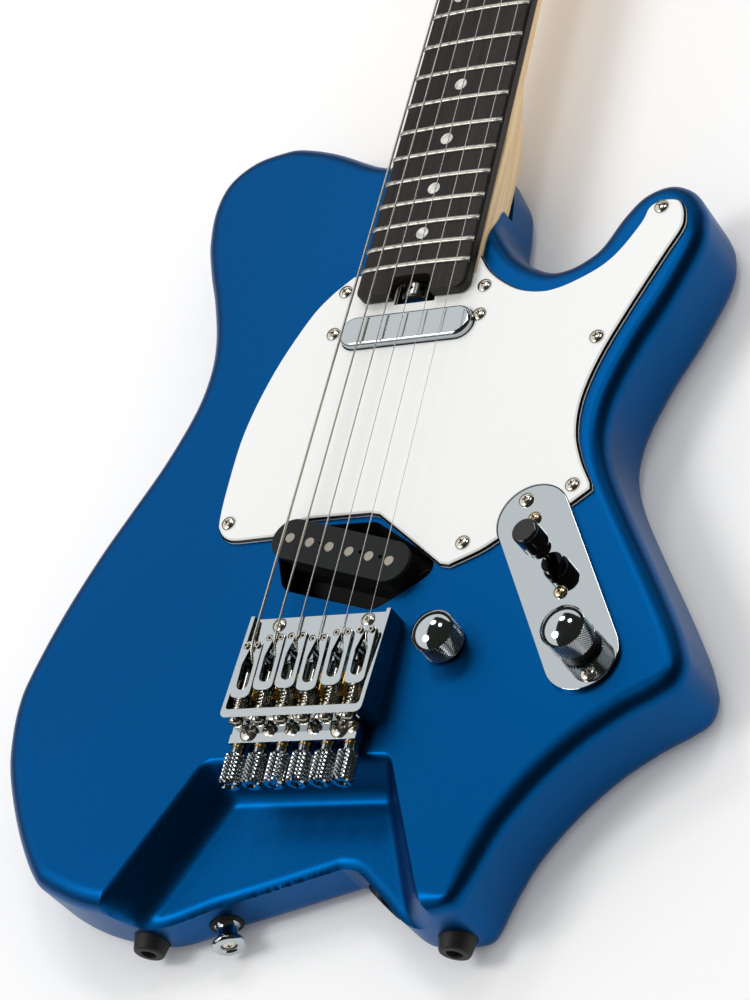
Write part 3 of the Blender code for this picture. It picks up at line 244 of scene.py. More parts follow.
# %% [markdown]
# The pickguard is a sandwich of three vinyl sheets, white over black over white. Its edge is cut at a slope,
# which lays the black sheet open as a thin line all round. The colour therefore follows height.

# %% Three-ply vinyl
GUARD_LOW, GUARD_TOP = TOP + FIT, TOP + FIT + 2.3
vinyl, shader = surface("three_ply_vinyl", "#F0F1EF", roughness=0.24)
place = add(vinyl, "ShaderNodeTexCoord")
axes = add(vinyl, "ShaderNodeSeparateXYZ", {}, {"Vector": place.outputs["Object"]})
level = add(vinyl, "ShaderNodeMapRange", {"From Min": GUARD_LOW * MM, "From Max": GUARD_TOP * MM},
            {"Value": axes.outputs["Z"]})
plies = add(vinyl, "ShaderNodeValToRGB", {}, {"Fac": level.outputs["Result"]},
            {"Color": shader.inputs["Base Color"]})
plies.color_ramp.interpolation = "CONSTANT"
plies.color_ramp.elements[0].color = tone("#E8EAE8")
plies.color_ramp.elements[1].position, plies.color_ramp.elements[1].color = 0.3, tone("#0B0C0C")
top_ply = plies.color_ramp.elements.new(0.7)
top_ply.color = tone("#F1F2F0")
noise = add(vinyl, "ShaderNodeTexNoise", {"Scale": 180.0, "Detail": 2.0}, {"Vector": place.outputs["Object"]})
add(vinyl, "ShaderNodeBump", {"Strength": 0.05, "Distance": 0.05 * MM}, {"Height": noise.outputs["Fac"]},
    {"Normal": shader.inputs["Normal"]})

# %% [markdown]
# Bright chrome plate covers the bridge, tuners, knobs and control plate. It is almost a mirror. A faint
# waviness from the polishing wheel, a few millimetres across, keeps the mirror from looking drawn with a
# ruler, and the roughness changes a little over the surface, as fingers leave it.

# %% Chrome
chrome, shader = surface("bright_chrome", "#BBC2C5", metallic=1.0, roughness=0.07)
noise = grain(chrome, shader, 7.0, 0.05, 0.02)
add(chrome, "ShaderNodeMapRange", {"To Min": 0.04, "To Max": 0.11}, {"Value": noise.outputs["Fac"]},
    {"Result": shader.inputs["Roughness"]})

# %% [markdown]
# Screws and springs are steel with nickel plate, a shade warmer and duller than chrome. A second, darker
# steel serves the set screws and the truss rod wheel, whose finish is black oxide.

# %% Plated and blackened steel
mirror, shader = surface("mirror_chrome", "#B6BEC1", metallic=1.0, roughness=0.03)
grain(mirror, shader, 14.0, 0.02, 0.01)
warm_nickel, shader = surface("warm_nickel_plate", "#D6C8A6", metallic=1.0, roughness=0.18)
grain(warm_nickel, shader, 1.2, 0.12, 0.02)
nickel, shader = surface("nickel_plated_steel", "#D3CEC2", metallic=1.0, roughness=0.16)
grain(nickel, shader, 1.2, 0.12, 0.02)
dark_steel, shader = surface("blackened_steel", "#4A4A4A", metallic=1.0, roughness=0.25)
grain(dark_steel, shader, 0.9, 0.2, 0.02)
burnished, shader = surface("burnished_steel", "#8E8E8C", metallic=1.0, roughness=0.2)
grain(burnished, shader, 0.9, 0.15, 0.02)
magnet, shader = surface("ground_magnet_steel", "#A39D93", metallic=1.0, roughness=0.42)
grain(magnet, shader, 0.5, 0.3, 0.02, (1, 0.15, 1))
brass, shader = surface("turned_brass", "#C9A34E", metallic=1.0, roughness=0.22)
grain(brass, shader, 0.8, 0.15, 0.02)

# %% [markdown]
# Plastics and rubber come next: the flat pickup bobbin is vulcanised fibre with a paper-like surface, the
# switch tip is glossy moulded ABS, the covers are matt ABS, and the feet are moulded rubber.

# %% Fibre, plastic and rubber
fibre, shader = surface("vulcanised_fibre", "#15191A", roughness=0.55, Specular_IOR_Level=0.25)
grain(fibre, shader, 1.0, 0.3, 0.03, (1, 0.12, 1))
gloss_black, shader = surface("glossy_abs", "#0B0B0D", roughness=0.09)
grain(gloss_black, shader, 9.0, 0.04, 0.02)
matt_black, shader = surface("matt_abs", "#111213", roughness=0.5)
grain(matt_black, shader, 0.8, 0.3, 0.03)
tape, shader = surface("cloth_coil_tape", "#0A0A0B", roughness=0.7)
grain(tape, shader, 0.7, 0.5, 0.06, (1, 1, 0.2))
rubber, shader = surface("moulded_rubber", "#121212", roughness=0.6)
grain(rubber, shader, 0.9, 0.35, 0.04)
black_metal, shader = surface("black_anodised_aluminium", "#18191A", metallic=0.7, roughness=0.38)
grain(black_metal, shader, 0.5, 0.3, 0.02)
nut_stock, shader = surface("black_nut_stock", "#141414", roughness=0.35)
grain(nut_stock, shader, 1.0, 0.2, 0.02)

# %% [markdown]
# Plain strings are bare tinned steel. Bass strings are the same wire wound with nickel-plated thread. The
# real winding has a pitch of about a quarter of a millimetre, finer than a pixel of the picture, so the
# rings are drawn nearly a millimetre apart, coarse enough to break up the highlight as winding does. Their
# colour runs dark in the grooves and pale on the crests, which is painted shade and painted highlight.

# %% String wire
plain_wire, shader = surface("tinned_string_wire", "#E6E2D8", metallic=1.0, roughness=0.2)
grain(plain_wire, shader, 0.8, 0.1, 0.01)
wound_wire, shader = surface("wound_string_wire", "#CBC4B2", metallic=1.0, roughness=0.3)
place = add(wound_wire, "ShaderNodeTexCoord")
rings = add(wound_wire, "ShaderNodeTexWave",
            {"wave_type": "BANDS", "bands_direction": "Y", "Scale": 330.0, "Distortion": 0.4},
            {"Vector": place.outputs["Object"]})
# Painted shade and highlight: the colour runs dark in the grooves between the rings and pale on their crests.
ramp = add(wound_wire, "ShaderNodeValToRGB", {}, {"Fac": rings.outputs["Fac"]},
           {"Color": shader.inputs["Base Color"]})
ramp.color_ramp.elements[0].color = tone("#A9A294")
ramp.color_ramp.elements[1].color = tone("#F2EDE0")
add(wound_wire, "ShaderNodeBump", {"Strength": 0.6, "Distance": 0.12 * MM}, {"Height": rings.outputs["Fac"]},
    {"Normal": shader.inputs["Normal"]})
print("materials:", len(bpy.data.materials))

# %% [markdown]
# A small set of shaping tools follows. Each starts from a few points and lets Blender's mesh operators do the
# work: an outline is raised into a plate, a profile is spun round, a grid is wrapped into a tube, and a wire
# is drawn along a path. Writing every vertex by hand would also work, but it hides what the shape is.

# %% Shaping tools
def curve_through(points, steps, closed=True):
    """Points along a smooth Catmull-Rom curve through the given ones."""
    count = len(points)
    out = []
    for i in range(count if closed else count - 1):
        b, c = Vector(points[i]), Vector(points[(i + 1) % count])
        a = Vector(points[i - 1]) if closed or i else 2 * b - c
        d = Vector(points[(i + 2) % count]) if closed or i + 2 < count else 2 * c - b
        for s in range(steps):
            t = s / steps
            out.append(0.5 * (2 * b + (c - a) * t + (2 * a - 5 * b + 4 * c - d) * t * t
                              + (3 * b - a - 3 * c + d) * t ** 3))
    return out if closed else out + [Vector(points[-1])]


def stadium(long, wide, centre=(0, 0), turn=0.0, steps=20):
    """Outline of a bar with round ends."""
    out = []
    for side in (0, math.pi):
        for k in range(steps + 1):
            a = side + math.pi * (k / steps - 0.5)
            p = Vector((math.copysign(long / 2 - wide / 2, math.cos(side)), 0))
            p += Vector((math.cos(a), math.sin(a))) * wide / 2
            p.rotate(Matrix.Rotation(turn, 2))
            out.append(p + Vector(centre))
    return out


def rounded(corners, radius, steps=5):
    """A polygon with its corners rounded to about the given radius."""
    out = []
    for i, corner in enumerate(corners):
        p = Vector(corner)
        before, after = Vector(corners[i - 1]) - p, Vector(corners[(i + 1) % len(corners)]) - p
        reach = min(radius, 0.45 * before.length, 0.45 * after.length)
        a, b = p + before.normalized() * reach, p + after.normalized() * reach
        for k in range(steps + 1):
            t = k / steps
            out.append(a * (1 - t) ** 2 + 2 * p * t * (1 - t) + b * t * t)
    return out


def outward(bm):
    """Turns every face of a closed shape to look outwards."""
    bmesh.ops.recalc_face_normals(bm, faces=bm.faces)
    if bm.calc_volume(signed=True) < 0:
        bmesh.ops.reverse_faces(bm, faces=bm.faces)
    return bm


def plate(outline, low, high, rim=0.0, segments=4, both=False):
    """An outline raised from one height to another, with its upper rim, or both, rounded or sloped."""
    bm = bmesh.new()
    base = bm.faces.new([bm.verts.new((p[0], p[1], low)) for p in outline])
    made = bmesh.ops.extrude_face_region(bm, geom=[base])
    bmesh.ops.translate(bm, verts=[g for g in made["geom"] if isinstance(g, bmesh.types.BMVert)],
                        vec=(0, 0, high - low))
    outward(bm)
    if rim:
        levels = (low, high) if both else (high,)
        edges = [e for e in bm.edges
                 if any(all(abs(v.co.z - z) < 1e-4 for v in e.verts) for z in levels)]
        bmesh.ops.bevel(bm, geom=edges, offset=rim, segments=segments, profile=0.5, affect="EDGES",
                        material=-1, clamp_overlap=True)
    return bm


def turned(profile, steps=48):
    """A solid of revolution about Z from (radius, height) points."""
    bm = bmesh.new()
    verts = [bm.verts.new((r, 0, z)) for r, z in profile]
    edges = [bm.edges.new(pair) for pair in zip(verts, verts[1:])]
    bmesh.ops.spin(bm, geom=verts + edges, cent=(0, 0, 0), axis=(0, 0, 1), dvec=(0, 0, 0),
                   angle=2 * math.pi, steps=steps, use_merge=True, use_duplicate=False)
    bmesh.ops.remove_doubles(bm, verts=bm.verts, dist=1e-4)
    return outward(bm)


def rod(radius, long, steps=32):
    return turned([(0, 0), (radius, 0), (radius, long), (0, long)], steps)


def block(low, high):
    """A box between two corners."""
    bm = bmesh.new()
    bmesh.ops.create_cube(bm, size=1.0)
    bmesh.ops.scale(bm, vec=[b - a for a, b in zip(low, high)], verts=bm.verts)
    bmesh.ops.translate(bm, vec=[(a + b) / 2 for a, b in zip(low, high)], verts=bm.verts)
    return bm


def wrapped(point, around, along):
    """A tube whose surface is a function of the shares around and along it, closed at both ends."""
    bm = bmesh.new()
    bmesh.ops.create_grid(bm, x_segments=around, y_segments=along, size=0.5)
    for v in bm.verts:
        v.co = point(v.co.x + 0.5, v.co.y + 0.5)
    bmesh.ops.remove_doubles(bm, verts=bm.verts, dist=1e-3)
    bmesh.ops.holes_fill(bm, edges=[e for e in bm.edges if e.is_boundary], sides=0)
    return outward(bm)


def wire(path, radius, fineness=2):
    """A round wire along a path, drawn as a curve with a round bevel and turned into a mesh."""
    curve = bpy.data.curves.new("wire", "CURVE")
    curve.dimensions = "3D"
    line = curve.splines.new("POLY")
    line.points.add(len(path) - 1)
    for spot, p in zip(line.points, path):
        spot.co = (*p, 1)
    curve.bevel_depth, curve.bevel_resolution, curve.use_fill_caps = radius, fineness, True
    holder = bpy.data.objects.new("wire", curve)
    bm = bmesh.new()
    bm.from_mesh(bpy.data.meshes.new_from_object(holder))
    bpy.data.objects.remove(holder)
    bmesh.ops.remove_doubles(bm, verts=bm.verts, dist=1e-4)
    return outward(bm)


def placed(bm, at, towards=(0, 0, 1), spin=0.0):
    """A copy of a shape made about Z, stood at a point with its Z along the given direction."""
    copy = bm.copy()
    lean = Vector((0, 0, 1)).rotation_difference(Vector(towards).normalized()).to_matrix().to_4x4()
    copy.transform(Matrix.Translation(Vector(at)) @ lean @ Matrix.Rotation(spin, 4, "Z"))
    return copy


def joined(*shapes):
    """Several shapes in one mesh."""
    out = bmesh.new()
    for bm in shapes:
        mesh = bpy.data.meshes.new("part")
        bm.to_mesh(mesh)
        out.from_mesh(mesh)
        bpy.data.meshes.remove(mesh)
    return out


def carved(bm, *cutters, operation="DIFFERENCE"):
    """The shape less each cutter, by Blender's exact Boolean."""
    holders = []
    for shape in (bm, *cutters):
        mesh = bpy.data.meshes.new("carving")
        shape.to_mesh(mesh)
        shape.free()
        holder = bpy.data.objects.new("carving", mesh)
        bpy.context.scene.collection.objects.link(holder)
        holders.append(holder)
    for tool in holders[1:]:
        step = holders[0].modifiers.new("carve", "BOOLEAN")
        step.operation, step.solver, step.object = operation, "EXACT", tool
    graph = bpy.context.evaluated_depsgraph_get()
    out = bmesh.new()
    out.from_mesh(bpy.data.meshes.new_from_object(holders[0].evaluated_get(graph)))
    for holder in holders:
        bpy.data.meshes.remove(holder.data)
    return out


def made(name, bm, finish, slot, body="guitar", stands_for=(), smooth=30, soften=0.0, segments=2, bends=None):
    """The finished piece: brought to metres, given its finish, and set to ride on its CAD body. With bends,
    two points, it is left fixed where it stands instead, and the two points are not used."""
    bmesh.ops.scale(bm, vec=(MM, MM, MM), verts=bm.verts)
    mesh = bpy.data.meshes.new(name)
    bm.to_mesh(mesh)
    bm.free()
    mesh.materials.append(finish)
    mesh.shade_smooth()
    mesh.set_sharp_from_angle(angle=math.radians(smooth))
    piece = bpy.data.objects.new(name, mesh)
    bpy.context.scene.collection.objects.link(piece)
    if soften:
        bevel = piece.modifiers.new("soft_edges", "BEVEL")
        bevel.width, bevel.segments, bevel.limit_method = soften * MM, segments, "ANGLE"
        bevel.angle_limit = math.radians(smooth + 5)
    piece.modifiers.new("even_shading", "WEIGHTED_NORMAL").keep_sharp = True
    if bends:
        start, end = (tuple(c * MM for c in point) for point in bends)
        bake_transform(piece)
        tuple(start)
        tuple(end)
    else:
        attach(piece, body)
    if stands_for:
        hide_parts(*stands_for)
    return piece


# %% [markdown]
# The screws are cross-head screws with domed heads, and set screws with hexagon sockets. Each kind is made
# once, by carving the recess out of a spun head, and copies of it are stood wherever a screw goes.

# %% Screws
def cross_head(radius, high):
    """A domed screw head with a cross recess, its seat at height 0."""
    arc = [(radius * math.sin(a), high * 0.35 + high * 0.65 * math.cos(a))
           for a in (math.pi / 2 * k / 8 for k in range(9))]
    head = turned([*arc, (radius, 0), (radius * 0.6, -0.8), (0, -0.8)], 32)
    wings = []
    for turn in (0, math.pi / 2):
        bm = bmesh.new()
        bmesh.ops.create_cone(bm, cap_ends=True, segments=4, radius1=radius * 0.28, radius2=radius * 0.95,
                              depth=high * 1.3)
        bmesh.ops.rotate(bm, matrix=Matrix.Rotation(math.pi / 4, 3, "Z"), verts=bm.verts)
        bmesh.ops.scale(bm, vec=(1, 0.27, 1), verts=bm.verts)
        bmesh.ops.translate(bm, vec=(0, 0, high * 0.95), verts=bm.verts)
        wings.append(placed(bm, (0, 0, 0), spin=turn))
    return carved(head, *wings)


def slot_head(radius, high):
    """A domed screw head with one slot."""
    arc = [(radius * math.sin(a), high * 0.35 + high * 0.65 * math.cos(a))
           for a in (math.pi / 2 * k / 8 for k in range(9))]
    head = turned([*arc, (radius, 0), (radius * 0.6, -0.8), (0, -0.8)], 32)
    return carved(head, block((-radius * 1.2, -0.45, high * 0.45), (radius * 1.2, 0.45, high * 2)))


def set_screw(radius, long):
    """A headless screw with a hexagon socket, standing from height 0."""
    body = turned([(0, 0), (radius, 0), (radius, long - 0.35), (radius - 0.35, long), (0, long)], 24)
    socket = bmesh.new()
    bmesh.ops.create_cone(socket, cap_ends=True, segments=6, radius1=radius * 0.55, radius2=radius * 0.55,
                          depth=3)
    bmesh.ops.translate(socket, vec=(0, 0, long + 0.4), verts=socket.verts)
    return carved(body, socket)


small_screw = cross_head(3.3, 1.5)
bridge_screw = cross_head(3.1, 1.4)
big_screw = cross_head(4.0, 2.0)
slotted_screw = slot_head(2.9, 1.1)
print("screw heads:", sum(len(bm.faces) for bm in (small_screw, bridge_screw, big_screw, slotted_screw)), "faces")

# %% [markdown]
# The body is one slab of wood. Its outline was taken from the photograph, and its edges are rounded to about
# 8 mm, which a router bit does on the real one. A bevel of that size would fold over itself at the tight
# corners of the horns and legs, so the rings of the rounding are extruded one by one instead, and each point
# moves in by less where the outline turns tightly.

# %% Body blank
BODY_POINTS = (
    (27, 222), (28.4, 209.8), (32.7, 202.4), (38.2, 195), (44.8, 188.4), (53.6, 182.5), (63, 178.9),
    (70.7, 179.6), (77.5, 182.9), (83.8, 188.6), (90.7, 202), (99.2, 212.8), (111, 217.2), (121.2, 213.8),
    (127.8, 206), (131.6, 196.7), (132, 182.7), (123.4, 156.5), (114.7, 136.4), (108.4, 117.3),
    (106, 103.9), (107, 89), (113.3, 72.6), (127, 49), (142, 24.8), (154.9, 2.9), (159.8, -7), (163, -16.9),
    (161.1, -26), (153.2, -32.2), (142.1, -38.5), (126.4, -50), (111.6, -65.4), (99.6, -82.7), (93.7, -96),
    (88.1, -112.3), (84.3, -118.6), (76.1, -121), (66, -121.5), (58.3, -120.3), (50.5, -115.6),
    (43.6, -109.2), (35.8, -102.7), (30.8, -98.5), (26.5, -96), (20.4, -95.2), (14, -97), (-22.1, -108),
    (-35, -111.8), (-51.5, -118.1), (-60.6, -120.4), (-70.3, -120.4), (-93.4, -116.7), (-113, -109.4),
    (-121.7, -103.2), (-132.5, -88.7), (-142.5, -71.5), (-150.6, -53.8), (-154.6, -38.9), (-156.5, -23.4),
    (-155.2, -8.6), (-147.6, 20.5), (-136.6, 50.7), (-125.7, 74.8), (-115.3, 98), (-107, 123.9),
    (-105, 143.8), (-107.3, 161.7), (-114.2, 183.3), (-121.4, 200.9), (-127, 218), (-129.3, 237.5),
    (-125.2, 253.4), (-113, 264.3), (-96.3, 268.6), (-85.6, 268.2), (-67, 262.7), (-42, 251.6), (-28, 250),
    (-14, 255), (0, 257.5), (11, 254.5), (18.8, 244.4), (24.6, 234.5),
)
EDGE = 8.0
outline = [Vector((min(max(p.x, -156.5), 163.0), p.y)) for p in curve_through(BODY_POINTS, 6)]
area = sum(a.x * b.y - b.x * a.y for a, b in zip(outline, outline[1:] + outline[:1])) / 2
inward = []
for i, p in enumerate(outline):
    near, far = outline[i - 4], outline[(i + 4) % len(outline)]
    tangent = (outline[(i + 1) % len(outline)] - outline[i - 1]).normalized()
    normal = Vector((-tangent.y, tangent.x)) * math.copysign(1, area)
    chord = far - near
    bulge = abs(chord.x * (p - near).y - chord.y * (p - near).x) / chord.length
    bend = (chord.length ** 2 / 4 + bulge ** 2) / (2 * bulge + 1e-6)
    convex = (near + far - 2 * p).dot(normal) > 0
    inward.append((normal, min(1.0, 0.7 * bend / (EDGE + 1)) if convex else 1.0))
shares, count = [s for _, s in inward], len(inward)
shares = [min(shares[(i + k) % count] for k in range(-5, 6)) for i in range(count)]
for _ in range(6):
    shares = [(shares[i - 1] + 2 * s + shares[(i + 1) % count]) / 4 for i, s in enumerate(shares)]
inward = [(n, s) for (n, _), s in zip(inward, shares)]
rings = [(EDGE + 1, 0.0), (EDGE, 0.0)]
rings += [(EDGE * (1 - math.sin(a)), EDGE * (1 - math.cos(a))) for a in (math.pi / 2 * k / 8 for k in range(1, 9))]
rings += [(inset, TOP - z) for inset, z in reversed(rings)]

body = bmesh.new()
place = body.verts.layers.int.new("place")
first = [body.verts.new((p + n * s * rings[0][0]).to_3d()) for p, (n, s) in zip(outline, inward)]
for k, v in enumerate(first):
    v[place] = k
cap = body.faces.new(first)
for inset, z in rings[1:]:
    step = bmesh.ops.extrude_face_region(body, geom=[cap])["geom"]
    if z:
        bmesh.ops.delete(body, geom=[cap], context="FACES_ONLY")
    cap = next(g for g in step if isinstance(g, bmesh.types.BMFace))
    for v in (g for g in step if isinstance(g, bmesh.types.BMVert)):
        p, (n, s) = outline[v[place]], inward[v[place]]
        v.co = (*(p + n * s * inset), z)
outward(body)
print("body blank:", len(body.faces), "faces, volume", round(body.calc_volume() / 1e6, 2), "litres")

# %% [markdown]
# Behind the tuners the wood is scooped out as a tapering recess, so that fingers reach the tuning knobs. Its
# walls slope, its floor corners are soft, its rim is eased, and the floor rolls over the tail edge. Such a
# shape is easiest as a height for each point of a grid: each wall and the floor is a simple slope, a smooth
# maximum joins them with a fillet, and a smooth minimum eases the rim. The grid becomes a cutter.

# %% Tail recess
FLOOR = TOP - 16.2
tail = [p for p in curve_through(BODY_POINTS, 24) if p.y < -60]
finder = kdtree.KDTree(len(tail))
for k, p in enumerate(tail):
    finder.insert((p.x, p.y, 0), k)
finder.balance()


def blend_max(a, b, k):
    h = max(k - abs(a - b), 0) / k
    return max(a, b) + h * h * k / 4


def rolled(distance, radius):
    """How far a rounded edge has dropped, at a distance inside the wall."""
    inside = min(max(radius - distance, 0), radius)
    return radius - math.sqrt(radius * radius - inside * inside)


def edge_drop(distance, reach, slope):
    """How far the floor has dropped near the tail edge: a curve that ends in a straight slope outside."""
    inside = max(reach - max(distance, 0), 0)
    return slope * inside * inside / (2 * reach) + slope * max(-distance, 0)


def recess_height(x, y):
    spot, k, gap = finder.find((x, y, 0))
    tangent = tail[min(k + 1, len(tail) - 1)] - tail[max(k - 1, 0)]
    side = tangent.x * (y - spot.y) - tangent.y * (x - spot.x)
    inside = gap if side * area > 0 else -gap
    flare = rolled(inside, 9.0)
    along = (y + 64.7) / -76.8
    rim = (y + 54.4) / -83.6
    left = (-39.2 - 39 * along - x - flare) / (7.3 + 45.5 * rim - 39 * along)
    right = (x - 36.8 - 31.5 * along - flare) / (4.7 + 37.1 * rim - 31.5 * along)
    back = (y + 64.7) / 10.3
    height = FLOOR - edge_drop(inside, 5.0, 0.85)
    for wall in (left, right, back):
        height = blend_max(height, FLOOR + (TOP - FLOOR) * wall, 6.0)
    return -blend_max(-height, -(TOP + 0.04), 3.0)


scoop = bmesh.new()
bmesh.ops.create_grid(scoop, x_segments=212, y_segments=112, size=0.5)
for v in scoop.verts:
    x, y = v.co.x * 190 - 8, v.co.y * 100 - 96
    v.co = (x, y, recess_height(x, y))
rim_edges = [e for e in scoop.edges if e.is_boundary]
lifted = bmesh.ops.extrude_edge_only(scoop, edges=rim_edges)["geom"]
for v in (g for g in lifted if isinstance(g, bmesh.types.BMVert)):
    v.co.z = TOP + 12
bmesh.ops.holes_fill(scoop, edges=[e for e in scoop.edges if e.is_boundary], sides=0)
outward(scoop)
print("recess floor at", round(FLOOR, 1), "mm, cutter faces:", len(scoop.faces))

# %% [markdown]
# The other hollows are plain router work: the neck pocket and the notch for the truss rod wheel, the routs
# under the pickups and controls, and the flat seats of the feet, strap buttons and jack. They are cut in the
# same places as in the CAD model. Afterwards the faces that lie inside the routs get shielding paint, and the
# faces in the truss rod notch get the same black as painted shade.

# %% Routs and seats
PICKUP_ROUT = (
    (-38, 46), (-36.8, 40.9), (-31.5, 27.5), (-28, 24.8), (16, 13), (20, 14.4), (39.5, 27.6), (41.4, 31.5),
    (40, 36), (8, 56), (-25, 56.4), (-36, 51),
)
PLATE_AT, PLATE_TURN = (102.0, 18.0), math.radians(-61.1)
TONE_AT = (55.5, -5.2)
JACK_AT, JACK_TURN = (37.4, -104.0, 12.7), math.radians(-129.7)
FEET = (("bass", (-71.2, -120.4, 12.0)), ("treble", (74.4, -121.2, 14.0)))
BUTTONS = (("tail", (-37.7, -112.2, 10.5), math.radians(-68.6)), ("horn", (-87.3, 268.3, 9.5), math.radians(89)))


def heading(turn):
    return Vector((math.cos(turn), math.sin(turn), 0))


def on_plate(slide, z):
    """A point on the middle line of the control plate."""
    return (Vector((*PLATE_AT, 0)) + heading(PLATE_TURN) * slide + Vector((0, 0, z)))


near, far = half_width(HEEL_END) + FIT, half_width(300) + FIT
pocket = plate(((-near, HEEL_END - FIT), (near, HEEL_END - FIT), (far, 300), (-far, 300)), 25.5, 60)
notch = block((-10.25, BOARD_END, 33.1), (10.25, 184, 60))
cuts = [
    scoop, pocket, notch, plate(stadium(84, 19, (0.2, 152)), TOP - 16, 60),
    plate(rounded(PICKUP_ROUT, 2.5), TOP - 17, 60), plate(stadium(92, 27, PLATE_AT, PLATE_TURN), TOP - 34, 60),
    placed(rod(15, 40.5), (*TONE_AT, -5)), placed(rod(21.3, 7.3, 64), (*TONE_AT, -5)),
    plate(rounded([(-21.3, 189.7), (21.3, 189.7), (21.3, 224.3), (-21.3, 224.3)], 4.3), -5, 2.3),
]
for _, at in FEET:
    cuts.append(placed(rod(7.9, 15), (at[0], at[1] + 2.2, at[2]), (0, -1, 0)))
for _, at, turn in BUTTONS:
    cuts.append(placed(rod(7.3, 15), Vector(at) - heading(turn) * 1.5, heading(turn)))
cuts.append(placed(rod(9.8, 20), Vector(JACK_AT) - heading(JACK_TURN) * 1.6, heading(JACK_TURN)))
cuts.append(placed(rod(6.3, 35), Vector(JACK_AT) + heading(JACK_TURN) * 8, -heading(JACK_TURN)))
wood = carved(body, *cuts)
painted = made("lacquered_body", wood, lacquer, "blue_lacquer", stands_for=["body"])
painted.data.materials.append(shield_and_notch_shade)
for face in painted.data.polygons:
    x, y, z = face.center / MM
    level = abs(face.normal.z) > 0.99 and z > TOP - 0.5
    hollow = (-39 < x < 43 and 12.5 < y < 57 and z > 20) or (abs(x) < 43 and 141 < y < 163 and z > 20)
    spot = Vector((x - PLATE_AT[0], y - PLATE_AT[1])).dot(heading(PLATE_TURN).xy)
    across = (Vector((x - PLATE_AT[0], y - PLATE_AT[1])) - heading(PLATE_TURN).xy * spot).length
    # The truss rod notch gets the black as well. This is painted shade in the narrow notch, not shielding paint.
    hollow = hollow or (abs(spot) < 47 and across < 14 and 7 < z) or (abs(x) < 10.4 and 167 < y < 184 and z > 30)
    if hollow and not level:
        face.material_index = 1
print("body:", len(painted.data.polygons), "faces")

# %% [markdown]
# The pickguard is routed from a sheet of the three-ply vinyl, with its outer edge sloped at 45 degrees and
# the openings left square. The outline runs smoothly between its corners. The openings leave a narrow gap
# round the pickup, the control plate and the end of the neck.

# %% Pickguard
GUARD_RUNS = (
    ((28.2, 188.2), (35.2, 178.8), (44.3, 171.6), (52.8, 167.2), (61.8, 165.3), (69.1, 165.7),
     (77.6, 168.5), (88.5, 174.3), (96, 181.8), (103.5, 194.6), (105.6, 201.6), (109.4, 204.8),
     (113.8, 205.7), (119.4, 204.6), (122.8, 200.7), (124.6, 194.6), (124.2, 188.1), (118.2, 174.8),
     (107.4, 149.6), (99.1, 127.6), (94.8, 107.7), (95.7, 90.9), (100.7, 77.1), (107.4, 65.4)),
    ((108.2, 62), (100.4, 55.6)),
    ((70.2, 41.3), (62.9, 36.4), (49.5, 30.4)),
    ((45, 31.2), (9.6, 57.6)),
    ((4.8, 58.7), (-25.8, 58.4)),
    ((-30.4, 56.8), (-41.1, 50.6)),
    ((-59, 50), (-63.4, 50.5), (-67.2, 52.4), (-70.4, 55.8), (-72.4, 60.9), (-73.3, 78.7),
     (-72.3, 107.2), (-65.4, 137.2), (-54.2, 164), (-45.6, 176.2), (-35.6, 185.4)),
)
GUARD_SCREWS = (
    (-37.3, 176.2), (34.2, 170.6), (112.7, 200.8), (95.3, 136.9), (99.5, 64.4), (54.1, 40.7),
    (-65.9, 59.4), (-37.9, 153.9), (35.1, 155.6),
)
NECK_COVER = (66.0, 15.4)
NECK_COVER_AT = (0.2, 152.0)
PLATE_LONG, PLATE_WIDE = 105.0, 32.3
edge = [p for run in GUARD_RUNS for p in curve_through(run, 5, closed=False)]
near, far = half_width(HEEL_END) + 2 * FIT, half_width(220) + 2 * FIT
holes = [
    plate(stadium(NECK_COVER[0] + 1.0, NECK_COVER[1] + 1.0, NECK_COVER_AT), 38, 60),
    plate(stadium(PLATE_LONG + 0.6, PLATE_WIDE + 0.6, PLATE_AT, PLATE_TURN, 28), 38, 60),
    plate(((-near, HEEL_END - FIT), (near, HEEL_END - FIT), (far, 220), (-far, 220)), 38, 60),
    block((-10.25, BOARD_END - 1.5, 38), (10.25, HEEL_END + 5, 60)),
]
holes += [placed(turned([(0, -4), (1.6, -4), (1.6, 0), (3.4, 1.6), (0, 1.6)], 24), (x, y, GUARD_TOP - 0.7))
          for x, y in GUARD_SCREWS]
guard = made("three_ply_pickguard", carved(plate(edge, GUARD_LOW, GUARD_TOP, 1.5, 1), *holes), vinyl,
             "white_plastic", stands_for=["pickguard"])
guard_heads = joined(*(placed(small_screw, (x, y, GUARD_TOP - 0.15), spin=0.7 + 1.9 * k)
                       for k, (x, y) in enumerate(GUARD_SCREWS)))
made("pickguard_screws", guard_heads, nickel, "nickel")
print("pickguard:", len(guard.data.polygons), "faces")

# %% [markdown]
# The neck pickup hides under a pressed chrome cover with softly rounded edges. It stands in the guard's
# opening and reaches down into the rout.

# %% Neck pickup cover
COVER_TOP = TOP + 6.2
shell = plate(stadium(*NECK_COVER, NECK_COVER_AT, steps=28), 33.5, COVER_TOP, 1.6, 5)
hollow = plate(stadium(NECK_COVER[0] - 1.6, NECK_COVER[1] - 1.6, NECK_COVER_AT, steps=28), 30, COVER_TOP - 0.8)
made("chrome_pickup_cover", carved(shell, hollow), chrome, "chrome", stands_for=["neck_pickup_cover"], smooth=40)

# %% [markdown]
# The maple neck has a flat face and a back that runs from a square heel to a rounded grip, like one drawn
# out of the other. Each section is the same rounded rectangle with its exponent changed, which is how the
# blend is done here in one wrapped grid.

# %% Neck
NECK_TOP = 44.7
NECK_STATIONS = (
    (HEEL_END, 18.9, 1), (246, 18.9, 1), (258, 18.6, 0.5), (272, 17.0, 0.15), (286, 16.1, 0.03),
    (346, 15.5, 0), (SCALE - 30, 14.5, 0), (SCALE, 14.5, 0.1), (SCALE + 29, 14.5, 0.4),
)


